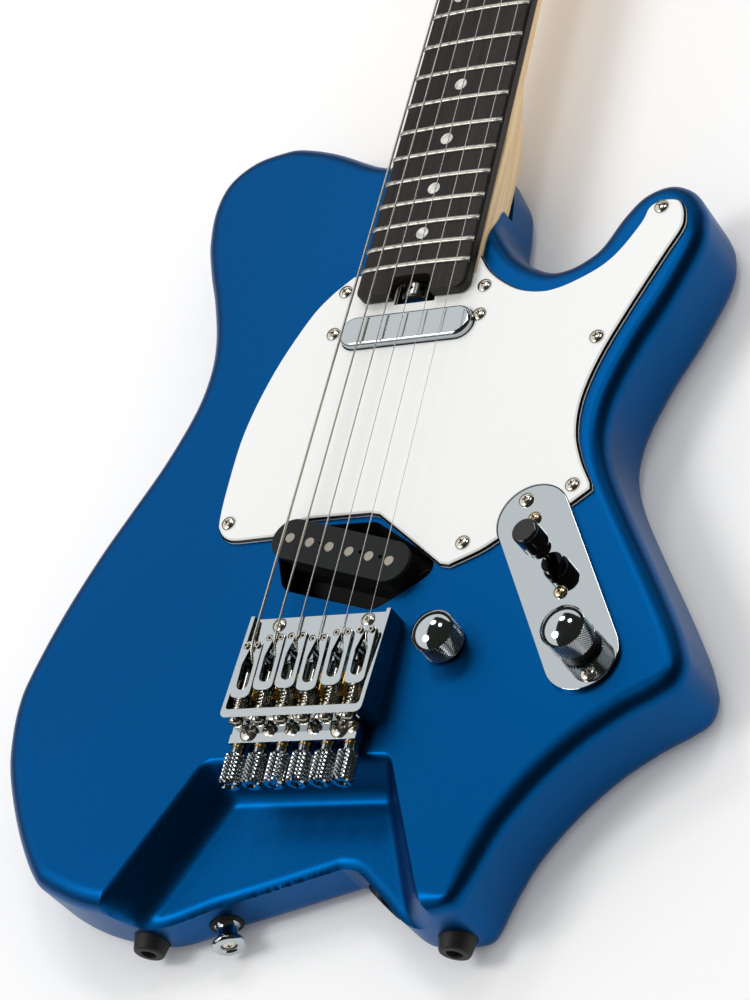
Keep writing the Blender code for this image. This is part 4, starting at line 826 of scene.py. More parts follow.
def neck_shape(y):
    """Depth and squareness of the neck at a distance from the bridge line."""
    for (y0, d0, s0), (y1, d1, s1) in zip(NECK_STATIONS, NECK_STATIONS[1:]):
        if y <= y1:
            t = min(max((y - y0) / (y1 - y0), 0), 1)
            t = t * t * (3 - 2 * t)
            return d0 + (d1 - d0) * t, s0 + (s1 - s0) * t
    return NECK_STATIONS[-1][1:]


def neck_point(u, v):
    y = HEEL_END + (SCALE + 29 - HEEL_END) * v
    depth, square = neck_shape(y)
    half = half_width(y)
    if u > 0.7:
        t = (u - 0.7) / 0.3
        return Vector((half * (1 - 2 * t), y, NECK_TOP))
    a = math.pi * u / 0.7
    power = 2 / (2 + 10 * square)
    x = -half * math.copysign(abs(math.cos(a)) ** power, math.cos(a))
    return Vector((x, y, NECK_TOP - depth * abs(math.sin(a)) ** power))


neck = wrapped(neck_point, 70, 120)
channel = block((-3.6, HEEL_END - 5, 37.4), (3.6, SCALE - 20, 60))
bolts = [placed(rod(2.6, 16.3, 20), (sx * 15, 207 + sy * 11, 20)) for sx in (-1, 1) for sy in (-1, 1)]
made("maple_neck", carved(neck, channel, *bolts), maple, "maple", stands_for=["neck"], soften=0.5)

# %% [markdown]
# The fingerboard is a separate board glued to the neck, arched across its top with a radius of about 311 mm.
# Its end is square with rounded corners and a notch for the truss rod wheel. Its long edges are rolled with
# a scraper, so they feel soft to the hand.

# %% Fingerboard
FRETS = 22
BOARD_CORNER = 5.0


def board_point(u, v):
    y = BOARD_END + (SCALE - FIT - BOARD_END) * v ** 1.6
    into = max(BOARD_CORNER - (y - BOARD_END), 0)
    half = half_width(y) - (BOARD_CORNER - math.sqrt(BOARD_CORNER ** 2 - into ** 2))
    if u < 0.6:
        x = -half + 2 * half * u / 0.6
        roll = max(abs(x) - (half - 1.0), 0)
        return Vector((x, y, BOARD_TOP - crown(x) - (1.0 - math.sqrt(max(1 - roll * roll, 0)))))
    if u < 0.75:
        return Vector((half, y, BOARD_TOP - crown(half) - 1 - (BOARD_TOP - crown(half) - 1 - BOARD_LOW) * (u - 0.6) / 0.15))
    if u < 0.85:
        return Vector((half - 2 * half * (u - 0.75) / 0.1, y, BOARD_LOW))
    return Vector((-half, y, BOARD_LOW + (BOARD_TOP - crown(half) - 1 - BOARD_LOW) * (u - 0.85) / 0.15))


board = wrapped(board_point, 80, 160)
notch = plate(rounded([(-10.25, 158.8), (10.25, 158.8), (10.25, 176.2), (-10.25, 176.2)], 4.0), 40, 60)
made("rosewood_fingerboard", carved(board, notch), rosewood, "rosewood", stands_for=["fingerboard"])

# %% [markdown]
# Each fret is a crowned wire pressed into a slot, following the arch of the board, with its ends filed to a
# slope. A half-round section is swept across the board and sunk slightly.

# %% Frets


def fret(y):
    half = half_width(y) - 0.3

    def point(u, v):
        x = -half + 2 * half * v
        filed = min(1.0, (half - abs(x)) / 0.8 + 0.25)
        a = math.pi * u
        lift = 1.1 * filed * math.sin(a) ** 0.7
        return Vector((x, y - 1.3 * math.cos(a), BOARD_TOP - crown(x) + lift - (0.3 if u in (0, 1) else 0)))
    return wrapped(point, 12, 26)


frets = joined(*(fret(SCALE / 2 ** (n / 12)) for n in range(1, FRETS + 1)))
made("nickel_frets", frets, fret_metal, "nickel")
dots = []
for n in (3, 5, 7, 9, 12, 15, 17, 19, 21):
    y = SCALE / 2 ** (n / 12) * (1 + 2 ** (1 / 12)) / 2
    spread = (-13, 13) if n == 12 else (0,)
    dots += [placed(rod(3.0, 1.0, 32), (x, y, BOARD_TOP - crown(x) - 0.96)) for x in spread]
made("pearl_dots", joined(*dots), pearl, "white_plastic")

# %% [markdown]
# The truss rod is turned by a spoked wheel at the end of the fingerboard: a dark steel barrel with a ring of
# holes that takes a small bar. It rides on its own joint.

# %% Truss rod wheel
WHEEL = (-1.0, 168.1, 41.1)
barrel = turned([(0, 2), (2.0, 2), (2.0, 7.4), (5.9, 7.4), (6.5, 6.8), (6.5, 0.6), (5.9, 0), (0, 0)], 64)
spokes = [placed(rod(1.1, 6, 16), Vector((3.4 * math.cos(a), 3.4 * math.sin(a), 3.7)),
                 (math.cos(a), math.sin(a), 0)) for a in (math.pi * k / 4 for k in range(8))]
made("truss_rod_barrel", placed(carved(barrel, *spokes), WHEEL, (0, 1, 0)), burnished, "steel",
     body="truss_rod_wheel", stands_for=["truss_rod_wheel"])

# %% [markdown]
# The nut is cut from black stock with a slot for each string. The headpiece that holds the string ends is an
# anodised clamp, with a small set screw over each string. Both lie outside the photograph, so they are plain.

# %% Nut and headpiece


def nut_height(i):
    return FRET_TOP - crown(string_x(i, SCALE)) + 0.8 + STRING_RADII[i]


STRING_RADII = (0.58, 0.46, 0.33, 0.22, 0.18, 0.15)
nut = plate(rounded([(-21, SCALE), (21, SCALE), (21, SCALE + 4), (-21, SCALE + 4)], 0.6), BOARD_LOW, 53.4, 0.5, 3)
slots = []
for i, r in enumerate(STRING_RADII):
    groove = wire([(string_x(i, SCALE + 2), SCALE - 5, nut_height(i) + 0.1),
                   (string_x(i, SCALE + 2), SCALE + 9, nut_height(i) + 0.1)], r + 0.2, 3)
    slots += [groove, block((string_x(i, SCALE + 2) - r - 0.2, SCALE - 5, nut_height(i)),
                            (string_x(i, SCALE + 2) + r + 0.2, SCALE + 9, 60))]
made("black_nut", carved(nut, *slots), nut_stock, "nut_black", stands_for=["nut"])
clamp = plate(rounded([(-21, 652), (21, 652), (21, 674), (-21, 674)], 3.0), 45.0, 55.5, 1.2, 4)
bores = [placed(rod(1.0, 20, 16), (string_x(i, 658), 646, nut_height(i) - 0.5), (0, 1, 0)) for i in range(6)]
bores += [placed(rod(2.1, 8, 24), (string_x(i, 658), 665.6, 51)) for i in range(6)]
made("clamping_headpiece", carved(clamp, *bores), black_metal, "black_metal", stands_for=["headpiece"])
made("headpiece_set_screws", joined(*(placed(set_screw(2.0, 3.6), (string_x(i, 658), 665.6, 51.2))
                                      for i in range(6))), dark_steel, "steel")

# %% [markdown]
# The slanted pickup is an open one: a flat bobbin of dark fibre with six ground magnets showing, and its
# coil wrapped in cloth tape below. It stands free in its black hollow, with small eyelets between the
# magnets, and two lead wires drop into the hollow beside it.

# %% Slanted pickup
PICKUP_AT, PICKUP_TURN = (-2.0, 39.0), math.radians(-16)
flange_top = TOP + 7.3
poles = [Vector((*PICKUP_AT, 0)) + heading(PICKUP_TURN) * 10.85 * (i - 2.5) for i in range(6)]
flange = plate(stadium(72.7, 19.3, PICKUP_AT, PICKUP_TURN, 28), flange_top - 2.4, flange_top, 0.5, 3, both=True)
bores = [placed(rod(2.45, 9), p + Vector((0, 0, flange_top - 6))) for p in poles]
bores += [placed(rod(0.9, 9, 20), (poles[k] + poles[k + 1]) / 2
                 + Vector((-heading(PICKUP_TURN).y, heading(PICKUP_TURN).x, 0)) * 1.0
                 + Vector((0, 0, flange_top - 6))) for k in (1, 3, 4)]
made("fibre_bobbin", carved(flange, *bores), fibre, "black_plastic", stands_for=["bridge_pickup_bobbin"])
coil = plate(stadium(68.7, 15.3, PICKUP_AT, PICKUP_TURN, 28), TOP - 7, flange_top - 2.3, 0.6, 3)
made("taped_coil", coil, tape, "black_plastic")
magnets = joined(*(placed(turned([(0, 0), (2.4, 0), (2.4, 8.1), (2.15, 8.35), (0, 8.35)], 40),
                          p + Vector((0, 0, flange_top - 8.0))) for p in poles))
made("pickup_magnets", magnets, magnet, "steel")
leads = [wire([tuple(p) for p in curve_through(line, 6, closed=False)], 0.7, 3) for line in (
    ((30.5, 31.5, TOP - 6.5), (36, 33.5, TOP - 5.5), (37.5, 30.5, TOP - 9), (33, 27.5, TOP - 14)),
    ((-29, 49.5, TOP - 6.5), (-33.5, 50.3, TOP - 6), (-33, 47.2, TOP - 10), (-29, 45, TOP - 15)))]
made("pickup_leads", joined(*leads), tape, "black_plastic")
print("pickup poles:", len(poles))

# %% [markdown]
# The bridge is milled from one block and chromed: two thin side walls, a bar across the back, a raised ledge
# that the saddles rest on, and a sunk floor under their rear ends. Its outline is drawn from the side and
# pushed across. Every edge has a small even bevel, which is what catches the light on plated metal.

# %% Bridge


def across(side, width, middle=BRIDGE_X):
    """A shape drawn from the side as (y, z above the body) and pushed across the instrument."""
    bm = plate(side, -width / 2, width / 2)
    bm.transform(Matrix(((0, 0, 1, middle), (1, 0, 0, 0), (0, 1, 0, TOP), (0, 0, 0, 1))))
    return bm


WIDE = 5 * PITCH + 9.8 + 2 * 1.8 + 0.5
frame_block = across(((7.2, FIT), (7.2, 10.4), (-42, 14), (-42, FIT)), WIDE)
corners = [e for e in frame_block.edges if all(v.co.y < -41.9 for v in e.verts)
           and abs(e.verts[0].co.x - e.verts[1].co.x) < 0.01]
bmesh.ops.bevel(frame_block, geom=corners, offset=3.0, segments=8, profile=0.5, affect="EDGES", material=-1)
well = across(((12, 7.6), (12, 30), (-38.2, 30), (-38.2, 2), (-14.3, 2), (-14.3, 7.6)), WIDE - 3.6)
rounds = [e for e in well.edges if all(v.co.y < -38 for v in e.verts)
          and abs(e.verts[0].co.x - e.verts[1].co.x) < 0.01]
bmesh.ops.bevel(well, geom=rounds, offset=1.6, segments=6, profile=0.5, affect="EDGES", material=-1)
columns = [string_x(i, 0) for i in range(6)]
drilled = [placed(rod(r, 9, 24), (x, -35, TOP + z), (0, -1, 0)) for x in columns for r, z in ((1.4, 11.2), (1.5, 4.6))]
seats = [placed(turned([(0, 0), (1.6, 0), (3.5, 1.9), (3.5, 6), (0, 6)]), (x, 3.9, TOP + 7.6 - 1.8))
         for x in (-21.5, 21.3)]
made("chrome_bridge", carved(frame_block, well, *drilled, *seats), chrome, "chrome",
     stands_for=["bridge_frame"], soften=0.35, segments=3, smooth=25)
made("bridge_screws", joined(*(placed(bridge_screw, (x, 3.9, TOP + 7.6 - 0.55), spin=0.4)
                               for x in (-21.5, 21.3))), nickel, "nickel")

# %% [markdown]
# Each saddle is a plate bent down at its rear, with a raised crest under the string and a long drop-shaped
# opening that the string passes down through. Two hexagon set screws lift it from the ledge. The saddles
# slide on their own joints, set back by different amounts.

# %% Saddles
SADDLE_LINES = (-5.8, -3.0, -2.8, -4.5, -2.3, -1.5)
height_screw = set_screw(1.5, 6.6)


def saddle_top(i):
    return 14.8 - crown((i - 2.5) * PITCH)


def drop_shape(x, line):
    """Outline of the opening: a narrow throat by the crest, widening to a round rear end."""
    out = []
    for turn, centre, radius in ((0.0, line - 4.0, 0.8), (math.pi, line - 20.7, 2.8)):
        for k in range(13):
            a = turn + math.pi * k / 12
            out.append((x + radius * math.cos(a), centre + radius * math.sin(a)))
    out.insert(13, (x - 2.9, line - 11.5))
    out.append((x + 2.9, line - 11.5))
    return out


for i, line in enumerate(SADDLE_LINES):
    x, top, front = columns[i], saddle_top(i), line - 0.7
    rear, low, tab = line - 27.1, saddle_top(i) - 2.0, 8.6
    plan = rounded([(x - 4.9, front), (x - 4.9, rear), (x + 4.9, rear), (x + 4.9, front)], 3.2, 7)
    saddle = plate(plan, TOP + low, TOP + top, 0.3, 3)
    bend = block((x - 3.1, rear, TOP + tab), (x + 3.1, rear + 3, TOP + low + 0.5))
    saddle = carved(saddle, bend, operation="UNION")
    cutters = [plate(drop_shape(x, line), TOP + 8, TOP + 24),
               placed(rod(1.4, 9, 24), (x, rear - 2, TOP + 11.2), (0, 1, 0))]
    cutters += [placed(rod(1.55, 9, 24), (x + s * 2.7, line - 3, TOP + low - 2)) for s in (-1, 1)]
    made(f"chrome_saddle_{i + 1}", carved(saddle, *cutters), chrome, "chrome", body=f"saddle_{i + 1}",
         stands_for=[f"saddle_{i + 1}"], smooth=25)
    lifts = [placed(height_screw, (x + s * 2.7, line - 3, TOP + 7.9)) for s in (-1, 1)]
    made(f"height_screws_{i + 1}", joined(*lifts), nickel, "steel", body=f"saddle_{i + 1}")
print("saddles:", len(SADDLE_LINES))

# %% [markdown]
# Behind each saddle an intonation screw passes through the rear bar and into the bent tab. It has a domed
# cross head and a bright spring over its shank, drawn as a helix with closed ends. The spring stays fixed
# where it is drawn and rides on no body.

# %% Intonation screws and springs
shank = turned([(0, 0), (1.5, 0), *((1.05 + 0.2 * (k % 2), 0.4 + 0.45 * k) for k in range(50)), (0, 22.9)], 20)
for i, line in enumerate(SADDLE_LINES):
    x, rear = columns[i], line + 1.6 - 28.7
    head = placed(cross_head(3.0, 2.3), (x, -42.4, TOP + 11.2), (0, -1, 0), spin=0.5 + i)
    screw = joined(head, placed(shank, (x, -43.2, TOP + 11.2), (0, 1, 0)))
    made(f"intonation_screw_steel_{i + 1}", screw, nickel, "nickel", body=f"intonation_screw_{i + 1}",
         stands_for=[f"intonation_screw_{i + 1}"])
    start, end = -38.0, rear - 0.1
    coils, steps = 6, 18
    path = []
    for k in range(coils * steps + 1):
        share = k / (coils * steps)
        packed = min(max((share * coils - 0.8) / (coils - 1.6), 0), 1)
        a = 2 * math.pi * share * coils
        path.append((x + 2.15 * math.cos(a), start + 0.35 + (end - start - 0.7) * packed,
                     TOP + 11.2 + 2.15 * math.sin(a)))
    held = ((x, start + 0.4, TOP + 11.2), (x, end - 0.4, TOP + 11.2))
    made(f"intonation_spring_{i + 1}", wire(path, 0.42, 2), nickel, "nickel", body=f"saddle_{i + 1}", smooth=60,
         bends=held)

# %% [markdown]
# The tuner block sits behind the bridge with a step along its top. Two cross-head screws hold it to the
# body, and slotted screws close the bores of the string pullers.

# %% Tuner block
low, high = TOP + 0.3, TOP + 7.1
base = block((-31.7, -50.2, low), (28.7, -42.3, high))
step = block((-40, -46.2, high - 0.7), (40, -40, high + 5))
bores = [placed(rod(1.5, 14, 24), (x, -39, TOP + 4.6), (0, -1, 0)) for x in columns]
made("chrome_tuner_block", carved(base, step, *bores), chrome, "chrome", stands_for=["tuner_block"],
     soften=0.4, segments=3, smooth=25)
heads = [placed(slotted_screw, (x, -44.9, high - 0.6), spin=t) for x, t in ((-13.9, 0.3), (-3.1, 1.1), (7.6, 2.0), (26.2, 0.7))]
heads += [placed(big_screw, (x, -45.9, high - 0.5), spin=0.6) for x in (-23.0, 20.4)]
made("tuner_block_screws", joined(*heads), nickel, "nickel")

# %% [markdown]
# The six tuning knobs are turned from brass, knurled in diamonds and chromed, with a screwdriver slot across
# the end. The knurl is real relief here: a spun barrel whose alternate points are pressed in, with the low
# points joined across each face so that the high ones stand as diamonds.

# %% Tuning knobs


def knurled(profile, around, first, last, deep):
    """A spun solid whose rows from first to last carry a diamond knurl."""
    bm = turned(profile, 2 * around)
    rows = [z for _, z in profile[first:last + 1]]
    low_points = []
    for v in bm.verts:
        reach = math.hypot(v.co.x, v.co.y)
        row = next((k for k, z in enumerate(rows) if abs(v.co.z - z) < 1e-3), None)
        if row is None or abs(reach - profile[first][0]) > 0.05:
            continue
        turn = round(math.atan2(v.co.y, v.co.x) / math.pi * around)
        if (turn + row) % 2:
            v.co.x, v.co.y = v.co.x * (1 - deep / reach), v.co.y * (1 - deep / reach)
            low_points.append(v)
    bmesh.ops.connect_verts(bm, verts=low_points)
    return bm


ROWS = 14
grip = [(4.5, 5.1 + 12.2 * k / ROWS) for k in range(ROWS + 1)]
knob_profile = [(0, 4), (1.6, 4), (1.6, 0), (2.9, 0), (2.9, 0.7), (2.35, 0.9), (2.35, 4.6), (3.9, 4.6), *grip,
                (4.5, 17.6), (3.9, 18.2), (2.2, 18.2), (2.2, 17.3), (0, 17.3)]
tuner = knurled(knob_profile, 18, 8, 8 + ROWS, 0.5)
tuner = carved(tuner, block((-6, -0.6, 16.4), (6, 0.6, 20)))
collar = turned([(1.5, 0.85), (3.05, 0.85), (3.05, 1.5), (1.5, 1.5), (1.5, 0.85)], 40)
sleeve = turned([(1.5, 1.6), (2.75, 1.6), (2.75, 4.0), (1.5, 4.0), (1.5, 1.6)], 40)
puller = turned([(0, 0), (1.9, 0), (2.1, 0.2), (2.1, 10.8), (1.9, 11), (0, 11)], 28)
puller_rod = rod(1.2, 29.2, 24)
for i, x in enumerate(columns):
    at = (x, -50.5, TOP + 4.6)
    name = f"tuner_knob_{i + 1}"
    made(f"knurled_tuner_{i + 1}", placed(joined(tuner, sleeve), at, (0, -1, 0), spin=0.15 + 0.4 * i), chrome,
         "chrome", body=name, stands_for=[name], smooth=20)
    made(f"brass_washer_{i + 1}", placed(collar, at, (0, -1, 0)), brass, "brass", body=name)
    made(f"brass_puller_{i + 1}", placed(puller, (x, -19.0, TOP + 4.6), (0, -1, 0)), brass, "brass",
         body=f"string_puller_{i + 1}", stands_for=[f"string_puller_{i + 1}"])
    made(f"puller_rod_{i + 1}", placed(puller_rod, (x, -30.0, TOP + 4.6), (0, -1, 0)), dark_steel, "steel",
         body=f"string_puller_{i + 1}")
print("tuner faces:", len(tuner.faces))

# %% [markdown]
# The strings run from the clamp over the nut and the saddles and down to the pullers. The path follows the
# CAD strings, with finer bends where a string leaves the saddle. Each string stays fixed where it is drawn,
# and its end is long enough to stay inside the puller.

# %% Strings
for i, r in enumerate(STRING_RADII):
    line, top, high = SADDLE_LINES[i], TOP + saddle_top(i) + 0.12 + r, nut_height(i)
    x = columns[i]
    path = [(string_x(i, 664), 664.0, high - 0.6), (string_x(i, SCALE + 4), SCALE + 4, high), (string_x(i, SCALE), SCALE, high),
            (string_x(i, line) + 0.6, line, top + 0.5), (x + 0.6, line - 2.6, top + 0.45),
            (x + 0.6, line - 5.2, top + 0.1), (x + 0.4, line - 9, TOP + 11.6), (x, -19, TOP + 4.6), (x, -23.5, TOP + 4.6)]
    made(f"string_wire_{i + 1}", wire(path, r, 3), wound_wire if i < 3 else plain_wire, "steel",
         body=f"saddle_{i + 1}", stands_for=[f"string_{i + 1}"],
         bends=((x, line + 120, top), (x, line + 4, top)))

# %% [markdown]
# The control plate is a polished and chromed steel bar with round ends, flat enough to mirror the knobs that
# stand on it. It has a slot for the switch blade and a hole for the volume shaft.

# %% Control plate
PLATE_LOW, PLATE_TOP = TOP + 0.3, TOP + 2.1
SWITCH_SLIDE, VOLUME_SLIDE = 36.5 - PLATE_LONG / 2, PLATE_LONG / 2 - 21.0
panel = plate(stadium(PLATE_LONG, PLATE_WIDE, PLATE_AT, PLATE_TURN, 40), PLATE_LOW, PLATE_TOP, 0.35, 2)
volume_at = on_plate(VOLUME_SLIDE, 0)
cutters = [plate(stadium(30, 3, on_plate(SWITCH_SLIDE, 0).xy, PLATE_TURN), 38, 60),
           placed(rod(4.9, 10), (*volume_at.xy, 38))]
made("mirror_control_plate", carved(panel, *cutters), mirror, "chrome", stands_for=["control_plate"], smooth=40)
ends = [placed(small_screw, (x, y, PLATE_TOP - 0.1), spin=t) for x, y, t in ((79.3, 59.1, 0.2), (124.7, -23.2, 1.1))]
made("plate_screws", joined(*ends), nickel, "nickel")
tight = cross_head(2.9, 1.7)
middles = [placed(tight, (x, y, PLATE_TOP - 0.1), spin=0.9) for x, y in ((85.2, 50.0), (104.6, 14.4))]
made("switch_screws", joined(*middles), warm_nickel, "nickel")

# %% [markdown]
# The switch tip is moulded in glossy black plastic: a narrower foot, a small step, a plain barrel and a flat
# top with a rounded edge. It rides with the switch blade, whose flat steel shows below it.

# %% Switch tip
tip_at = on_plate(SWITCH_SLIDE, TOP + 6.7)
high = 22.1 - 6.7
profile = [(0, 0), (4.4, 0), (4.75, 0.4), (4.75, 3.4), (5.2, 3.8), (5.62, 4.3), (5.75, 5.0), (5.75, high - 1.9)]
profile += [(4.65 + 1.1 * math.cos(a), high - 1.4 + 1.1 * math.sin(a) + 0.2) for a in (math.pi / 2 * k / 6 for k in range(7))]
profile += [(3.9, high - 0.1), (0, high - 0.22)]
room = block((-2.8, -1.1, -5), (2.8, 1.1, 11))
tip = carved(turned(profile, 72), placed(room, (0, 0, 0), spin=PLATE_TURN))
made("switch_tip_moulding", placed(tip, tip_at), gloss_black, "black_plastic", body="pickup_switch",
     stands_for=["switch_tip"], smooth=40)
blade = block((-2.5, -0.8, TOP - 10.5), (2.5, 0.8, TOP + 17.5))
made("switch_blade", placed(blade, on_plate(SWITCH_SLIDE, 0), spin=PLATE_TURN), warm_nickel, "steel",
     body="pickup_switch", stands_for=["switch_lever"], soften=0.2)

# %% [markdown]
# Both knobs are the same turned part: a barrel with a fine diamond knurl, a thin plain rim, and a polished
# dome. The real knurl has about sixty diamonds round the barrel, too fine for a pixel of the picture, so
# forty-four are drawn. The volume knob stands a little off the plate, and the shade in that gap is painted
# as a matt black ring round its shaft.

# %% Knobs
ROWS = 14
arch = [(9.5 * math.sin(a), 14.8 - 3.6 * (1 - (math.cos(a) - math.cos(1.15)) / (1 - math.cos(1.15))))
        for a in (1.15 * (1 - k / 14) for k in range(15))]
scale = 9.3 / arch[0][0]
arch = [(r * scale, z) for r, z in arch]
grip = [(9.5, 0.7 + 9.7 * k / ROWS) for k in range(ROWS + 1)]
profile = [(0, 10), (3.4, 10), (3.4, 0), (9.0, 0), *grip, (9.5, 10.9), *arch[:-1], (0, 14.8)]
knob = knurled(profile, 44, 4, 4 + ROWS, 0.42)
for name, at in (("volume", (*volume_at.xy, 46.7)), ("tone", (*TONE_AT, 42.3))):
    made(f"knurled_{name}_knob", placed(knob, at), chrome, "chrome", body=f"{name}_knob",
         stands_for=[f"{name}_knob"], smooth=24)
# Painted shade: a matt black ring round the volume shaft fills the gap under the knob.
ring = turned([(4.6, PLATE_TOP), (8.6, PLATE_TOP), (8.6, 46.4), (4.6, 46.4), (4.6, PLATE_TOP)], 64)
made("volume_gap_shade_ring", placed(ring, (*volume_at.xy, 0)), matt_black, "black_plastic")
print("knob faces:", len(knob.faces))

# %% [markdown]
# At the tail are two moulded rubber feet on the legs, a strap button and the recessed cup of the output
# jack. The second strap button is on the upper horn. The feet taper and are hollow round their screws.

# %% Feet, strap buttons and jack
foot = turned([(0, 0), (7.6, 0), (7.6, 2.2), (7.5, 2.6), (6.6, 7.4), (6.2, 8.1), (5.4, 8.4), (3.6, 8.4),
               (3.3, 8.1), (3.2, 4.6), (0, 4.6)], 56)
for name, at in FEET:
    stand = (at[0], at[1] + 1.9, at[2])
    made(f"rubber_foot_{name}", placed(foot, stand, (0, -1, 0)), rubber, "black_rubber", stands_for=[f"foot_{name}"],
         smooth=40)
    made(f"foot_screw_{name}", placed(cross_head(2.9, 1.6), Vector(stand) - Vector((0, 4.7, 0)), (0, -1, 0), 0.4),
         nickel, "nickel")
LONG = 11.4 + 1.5
button = [(0, 3.0), (5.3, 3.0), (4.5, 3.9), (4.3, 5.2), (4.3, LONG - 5.2), (4.9, LONG - 4.0), (6.6, LONG - 2.8)]
button += [(7.1 - 1.2 + 1.2 * math.cos(a), LONG - 1.6 + 1.5 * math.sin(a)) for a in (math.pi / 2 * k / 6 for k in range(7))]
button += [(3.9, LONG), (3.3, LONG - 0.5), (3.1, LONG - 1.8), (0, LONG - 1.8)]
washer = turned([(0, 0.2), (7, 0.2), (7, 2.2), (6.3, 2.9), (0, 2.9)], 56)
for name, at, turn in BUTTONS:
    start = Vector(at) - heading(turn) * 1.2
    made(f"strap_button_{name}_metal", placed(turned(button, 64), start, heading(turn)), chrome, "chrome",
         stands_for=[f"strap_button_{name}"], smooth=35)
    made(f"strap_washer_{name}", placed(washer, start, heading(turn)), tape, "black_rubber")
    made(f"strap_screw_{name}", placed(cross_head(2.8, 1.3), start + heading(turn) * (LONG - 1.9), heading(turn), 0.3),
         nickel, "nickel")
cup = turned([(6.3, -1.3), (9.4, -1.3), (9.5, 0.7), (8.9, 1.5), (8.2, 1.7), (7.2, 1.6), (6.5, 1.1), (6.3, 0.6),
              (6.3, -1.3)], 64)
made("jack_cup", placed(cup, JACK_AT, heading(JACK_TURN)), black_metal, "black_metal", stands_for=["jack_plate"],
     smooth=40)

# %% [markdown]
# The back is outside the photograph. It carries what such a guitar needs: a chromed neck plate with four
# countersunk screws, and a round plastic cover over the tone control with three small screws.

# %% Back plates
sheet = plate(rounded([(-21, 190), (21, 190), (21, 224), (-21, 224)], 4.0), 0, 2.0, 0.4, 2, both=True)
sinks = [placed(turned([(0, -2), (4.6, -2), (4.6, 0.2), (2.4, 2.4), (0, 2.4)], 40), (sx * 15, 207 + sy * 11, 0))
         for sx in (-1, 1) for sy in (-1, 1)]
made("chrome_neck_plate", carved(sheet, *sinks), chrome, "chrome", stands_for=["neck_plate"])
bolt_head = carved(turned([(0, 0.12), (4.2, 0.12), (4.3, 0.4), (2.3, 2.3), (2.3, 16), (0, 16)], 40),
                   *(placed(block((-2.6, -0.45, -1), (2.6, 0.45, 1.4)), (0, 0, 0), spin=t) for t in (0.3, 0.3 + math.pi / 2)))
made("neck_bolts", joined(*(placed(bolt_head, (sx * 15, 207 + sy * 11, 0)) for sx in (-1, 1) for sy in (-1, 1))),
     nickel, "nickel")
lid = turned([(0, 0.15), (20.4, 0.15), (21, 0.6), (21, 2), (0, 2)], 96)
spots = [Vector((17.2 * math.cos(a), 17.2 * math.sin(a), 0)) for a in (0.5 + 2 * math.pi * k / 3 for k in range(3))]
lid = carved(lid, *(placed(rod(2.6, 1.2, 32), p + Vector((0, 0, -0.3))) for p in spots))
made("cavity_cover", placed(lid, (*TONE_AT, 0)), matt_black, "black_plastic", stands_for=["back_cover"])
flat_head = turned([(0, 0.3), (2.0, 0.3), (2.35, 0.6), (2.35, 1.5), (0, 1.5)], 32)
flat_head = carved(flat_head, *(placed(block((-1.4, -0.28, -1), (1.4, 0.28, 0.8)), (0, 0, 0), spin=t) for t in (0.2, 0.2 + math.pi / 2)))
made("cover_screws", joined(*(placed(flat_head, p + Vector((*TONE_AT, 0))) for p in spots)), nickel, "nickel")

# %% [markdown]
# The pieces that stay as the CAD model made them are hidden or plain: the truss rod, the coils and bases of
# the pickups, the pots and the switch. Each gets the finish of its real material in its own slot.

# %% Finishes of the kept pieces
kept = {"truss_rod": dark_steel, "neck_pickup_coil": tape, "bridge_pickup_base": matt_black,
        "switch_body": matt_black, "volume_pot": nickel, "tone_pot": nickel, "output_jack": nickel}
for name, finish in kept.items():
    for spot in nodes[name].material_slots:
        spot.material = finish
print("kept:", ", ".join(kept))

# %% [markdown]
# The backdrop is a plain pale floor, which takes the object's soft shadow. The world is plain white for the
# camera, for reflections and for what glass lets through, and dimmer as a light, so the pale surfaces do not
# clip.

# %% Floor and world
bm = bmesh.new()
bmesh.ops.create_grid(bm, x_segments=8, y_segments=8, size=6.0)
for v in bm.verts:
    v.co.z = -0.0005 - 0.02 * max(0, v.co.length - 5)
mesh = bpy.data.meshes.new("pale_floor")
bm.to_mesh(mesh)
floor_finish, shader = surface("matt_white_paper", "#FFFFFF", roughness=0.9)
grain(floor_finish, shader, 2.0, 0.05, 0.02)
mesh.materials.append(floor_finish)
floor = bpy.data.objects.new("pale_floor", mesh)
bpy.context.scene.collection.objects.link(floor)

world = bpy.data.worlds.new("studio")
bpy.context.scene.world = world
world.use_nodes = True
tree = world.node_tree
tree.nodes.clear()
path = tree.nodes.new("ShaderNodeLightPath")
total = path.outputs["Is Camera Ray"]
for key in ("Is Glossy Ray", "Is Transmission Ray"):
    plus = tree.nodes.new("ShaderNodeMath")
    plus.operation, plus.use_clamp = "ADD", True
    tree.links.new(total, plus.inputs[0])
    tree.links.new(path.outputs[key], plus.inputs[1])
    total = plus.outputs["Value"]
level = tree.nodes.new("ShaderNodeMapRange")
level.inputs["To Min"].default_value, level.inputs["To Max"].default_value = 0.66, 1.0
tree.links.new(total, level.inputs["Value"])
sky = tree.nodes.new("ShaderNodeBackground")
sky.inputs["Color"].default_value = (1, 1, 1, 1)
tree.links.new(level.outputs["Result"], sky.inputs["Strength"])
out = tree.nodes.new("ShaderNodeOutputWorld")
tree.links.new(sky.outputs["Background"], out.inputs["Surface"])

# %% [markdown]
# Three soft lamps do the rest, as in a product studio: a key high on the bass side, a weaker one beyond
# the neck, whose sheen lies across the lacquer by the controls, and a small one that puts a spark in domes.

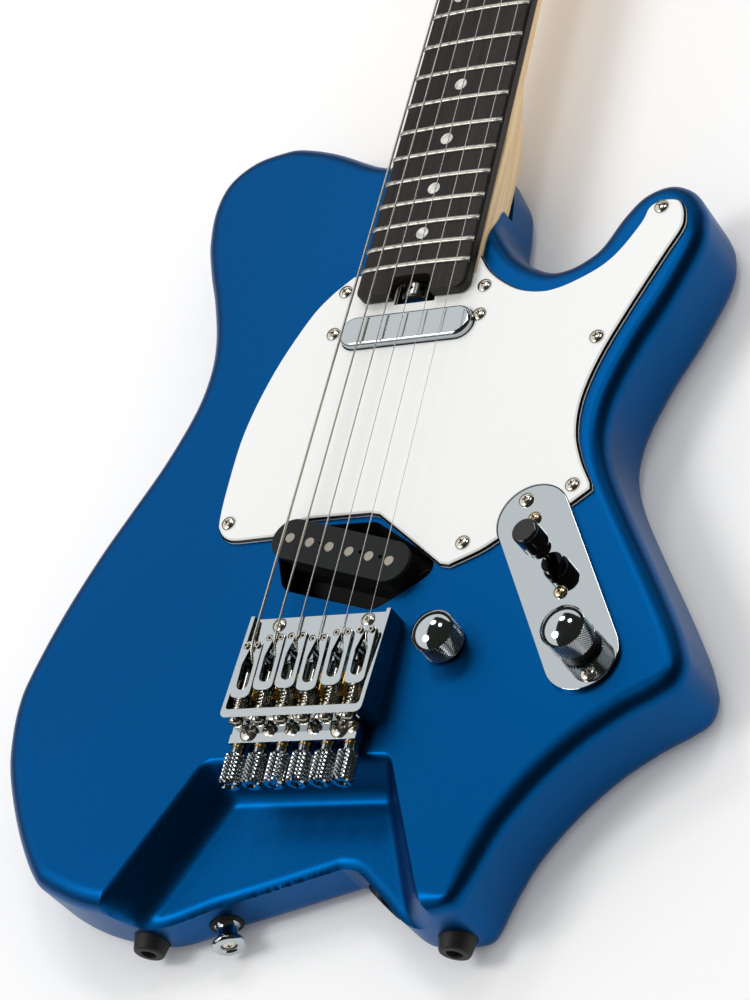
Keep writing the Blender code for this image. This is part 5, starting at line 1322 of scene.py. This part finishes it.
# %% Lamps
for name, at, size, watts in (
        ("soft_key", (-1.0, -0.4, 1.85), 0.8, 12.0), ("far_lamp", (-0.48, 1.08, 1.55), 0.4, 3.2),
        ("back_window", (0.27, 0.96, 1.75), 0.35, 3.0)):
    lamp = bpy.data.lights.new(name, "AREA")
    lamp.shape, lamp.size, lamp.energy = "DISK", size, watts
    holder = bpy.data.objects.new(name, lamp)
    holder.location = at
    holder.rotation_euler = (Vector((0, 0.05, 0.04)) - Vector(at)).to_track_quat("-Z", "Y").to_euler()
    bpy.context.scene.collection.objects.link(holder)

# %% [markdown]
# Polished chrome only looks like chrome when it has something dark to mirror. One dark card hangs over the
# right side and another stands round the set like a low wall, as black flags do in a studio. They are seen
# in reflections only and throw no shadow.

# %% Dark cards
felt, shader = surface("black_felt", "#2B2B26", roughness=1.0)
grain(felt, shader, 4.0, 0.2, 0.1)
hood, wall = bmesh.new(), bmesh.new()
bmesh.ops.create_grid(hood, x_segments=16, y_segments=16, size=0.5)
for v in hood.verts:
    fall = 4.6 * max(0.0, v.co.x) ** 2 + 4.6 * max(0.0, -v.co.y) ** 2
    v.co = (0.8 + 3.7 * v.co.x, 0.1 + 6.0 * v.co.y, 2.2 - min(fall, 1.25))
rim = [wall.verts.new((2.7, 0, z)) for z in (0.02, 0.5, 1.05)]
bmesh.ops.spin(wall, geom=rim + [wall.edges.new(pair) for pair in zip(rim, rim[1:])], cent=(0, 0, 0),
               axis=(0, 0, 1), dvec=(0, 0, 0), angle=2 * math.pi, steps=48, use_merge=True, use_duplicate=False)
for name, bm in (("dark_hood", hood), ("dark_wall", wall)):
    mesh = bpy.data.meshes.new(name)
    bm.to_mesh(mesh)
    mesh.materials.append(felt)
    card = bpy.data.objects.new(name, mesh)
    bpy.context.scene.collection.objects.link(card)
    card.visible_camera = card.visible_diffuse = card.visible_shadow = False

# %% [markdown]
# The camera stands where the photograph was taken from. Its place, tilt and lens were worked out from points
# that can be found both on the CAD model and in the photograph, such as fret ends and screw centres.

# %% Camera
lens = bpy.data.cameras.new("photo_camera")
lens.lens, lens.sensor_fit, lens.sensor_height = 116.96, "VERTICAL", 36.0
lens.clip_start, lens.clip_end = 0.05, 50.0
camera = bpy.data.objects.new("photo_camera", lens)
right, up, back = (Vector(v) for v in ((0.85221, 0.21792, -0.47566), (0.07242, 0.85125, 0.51974),
                                       (0.51817, -0.47737, 0.70966)))
turn = Matrix((right, up, back)).transposed().to_4x4()
camera.matrix_world = Matrix.Translation((0.70835, -0.58184, 1.00590)) @ turn
bpy.context.scene.collection.objects.link(camera)
bpy.context.scene.camera = camera
bpy.context.scene.view_settings.view_transform = "Standard"
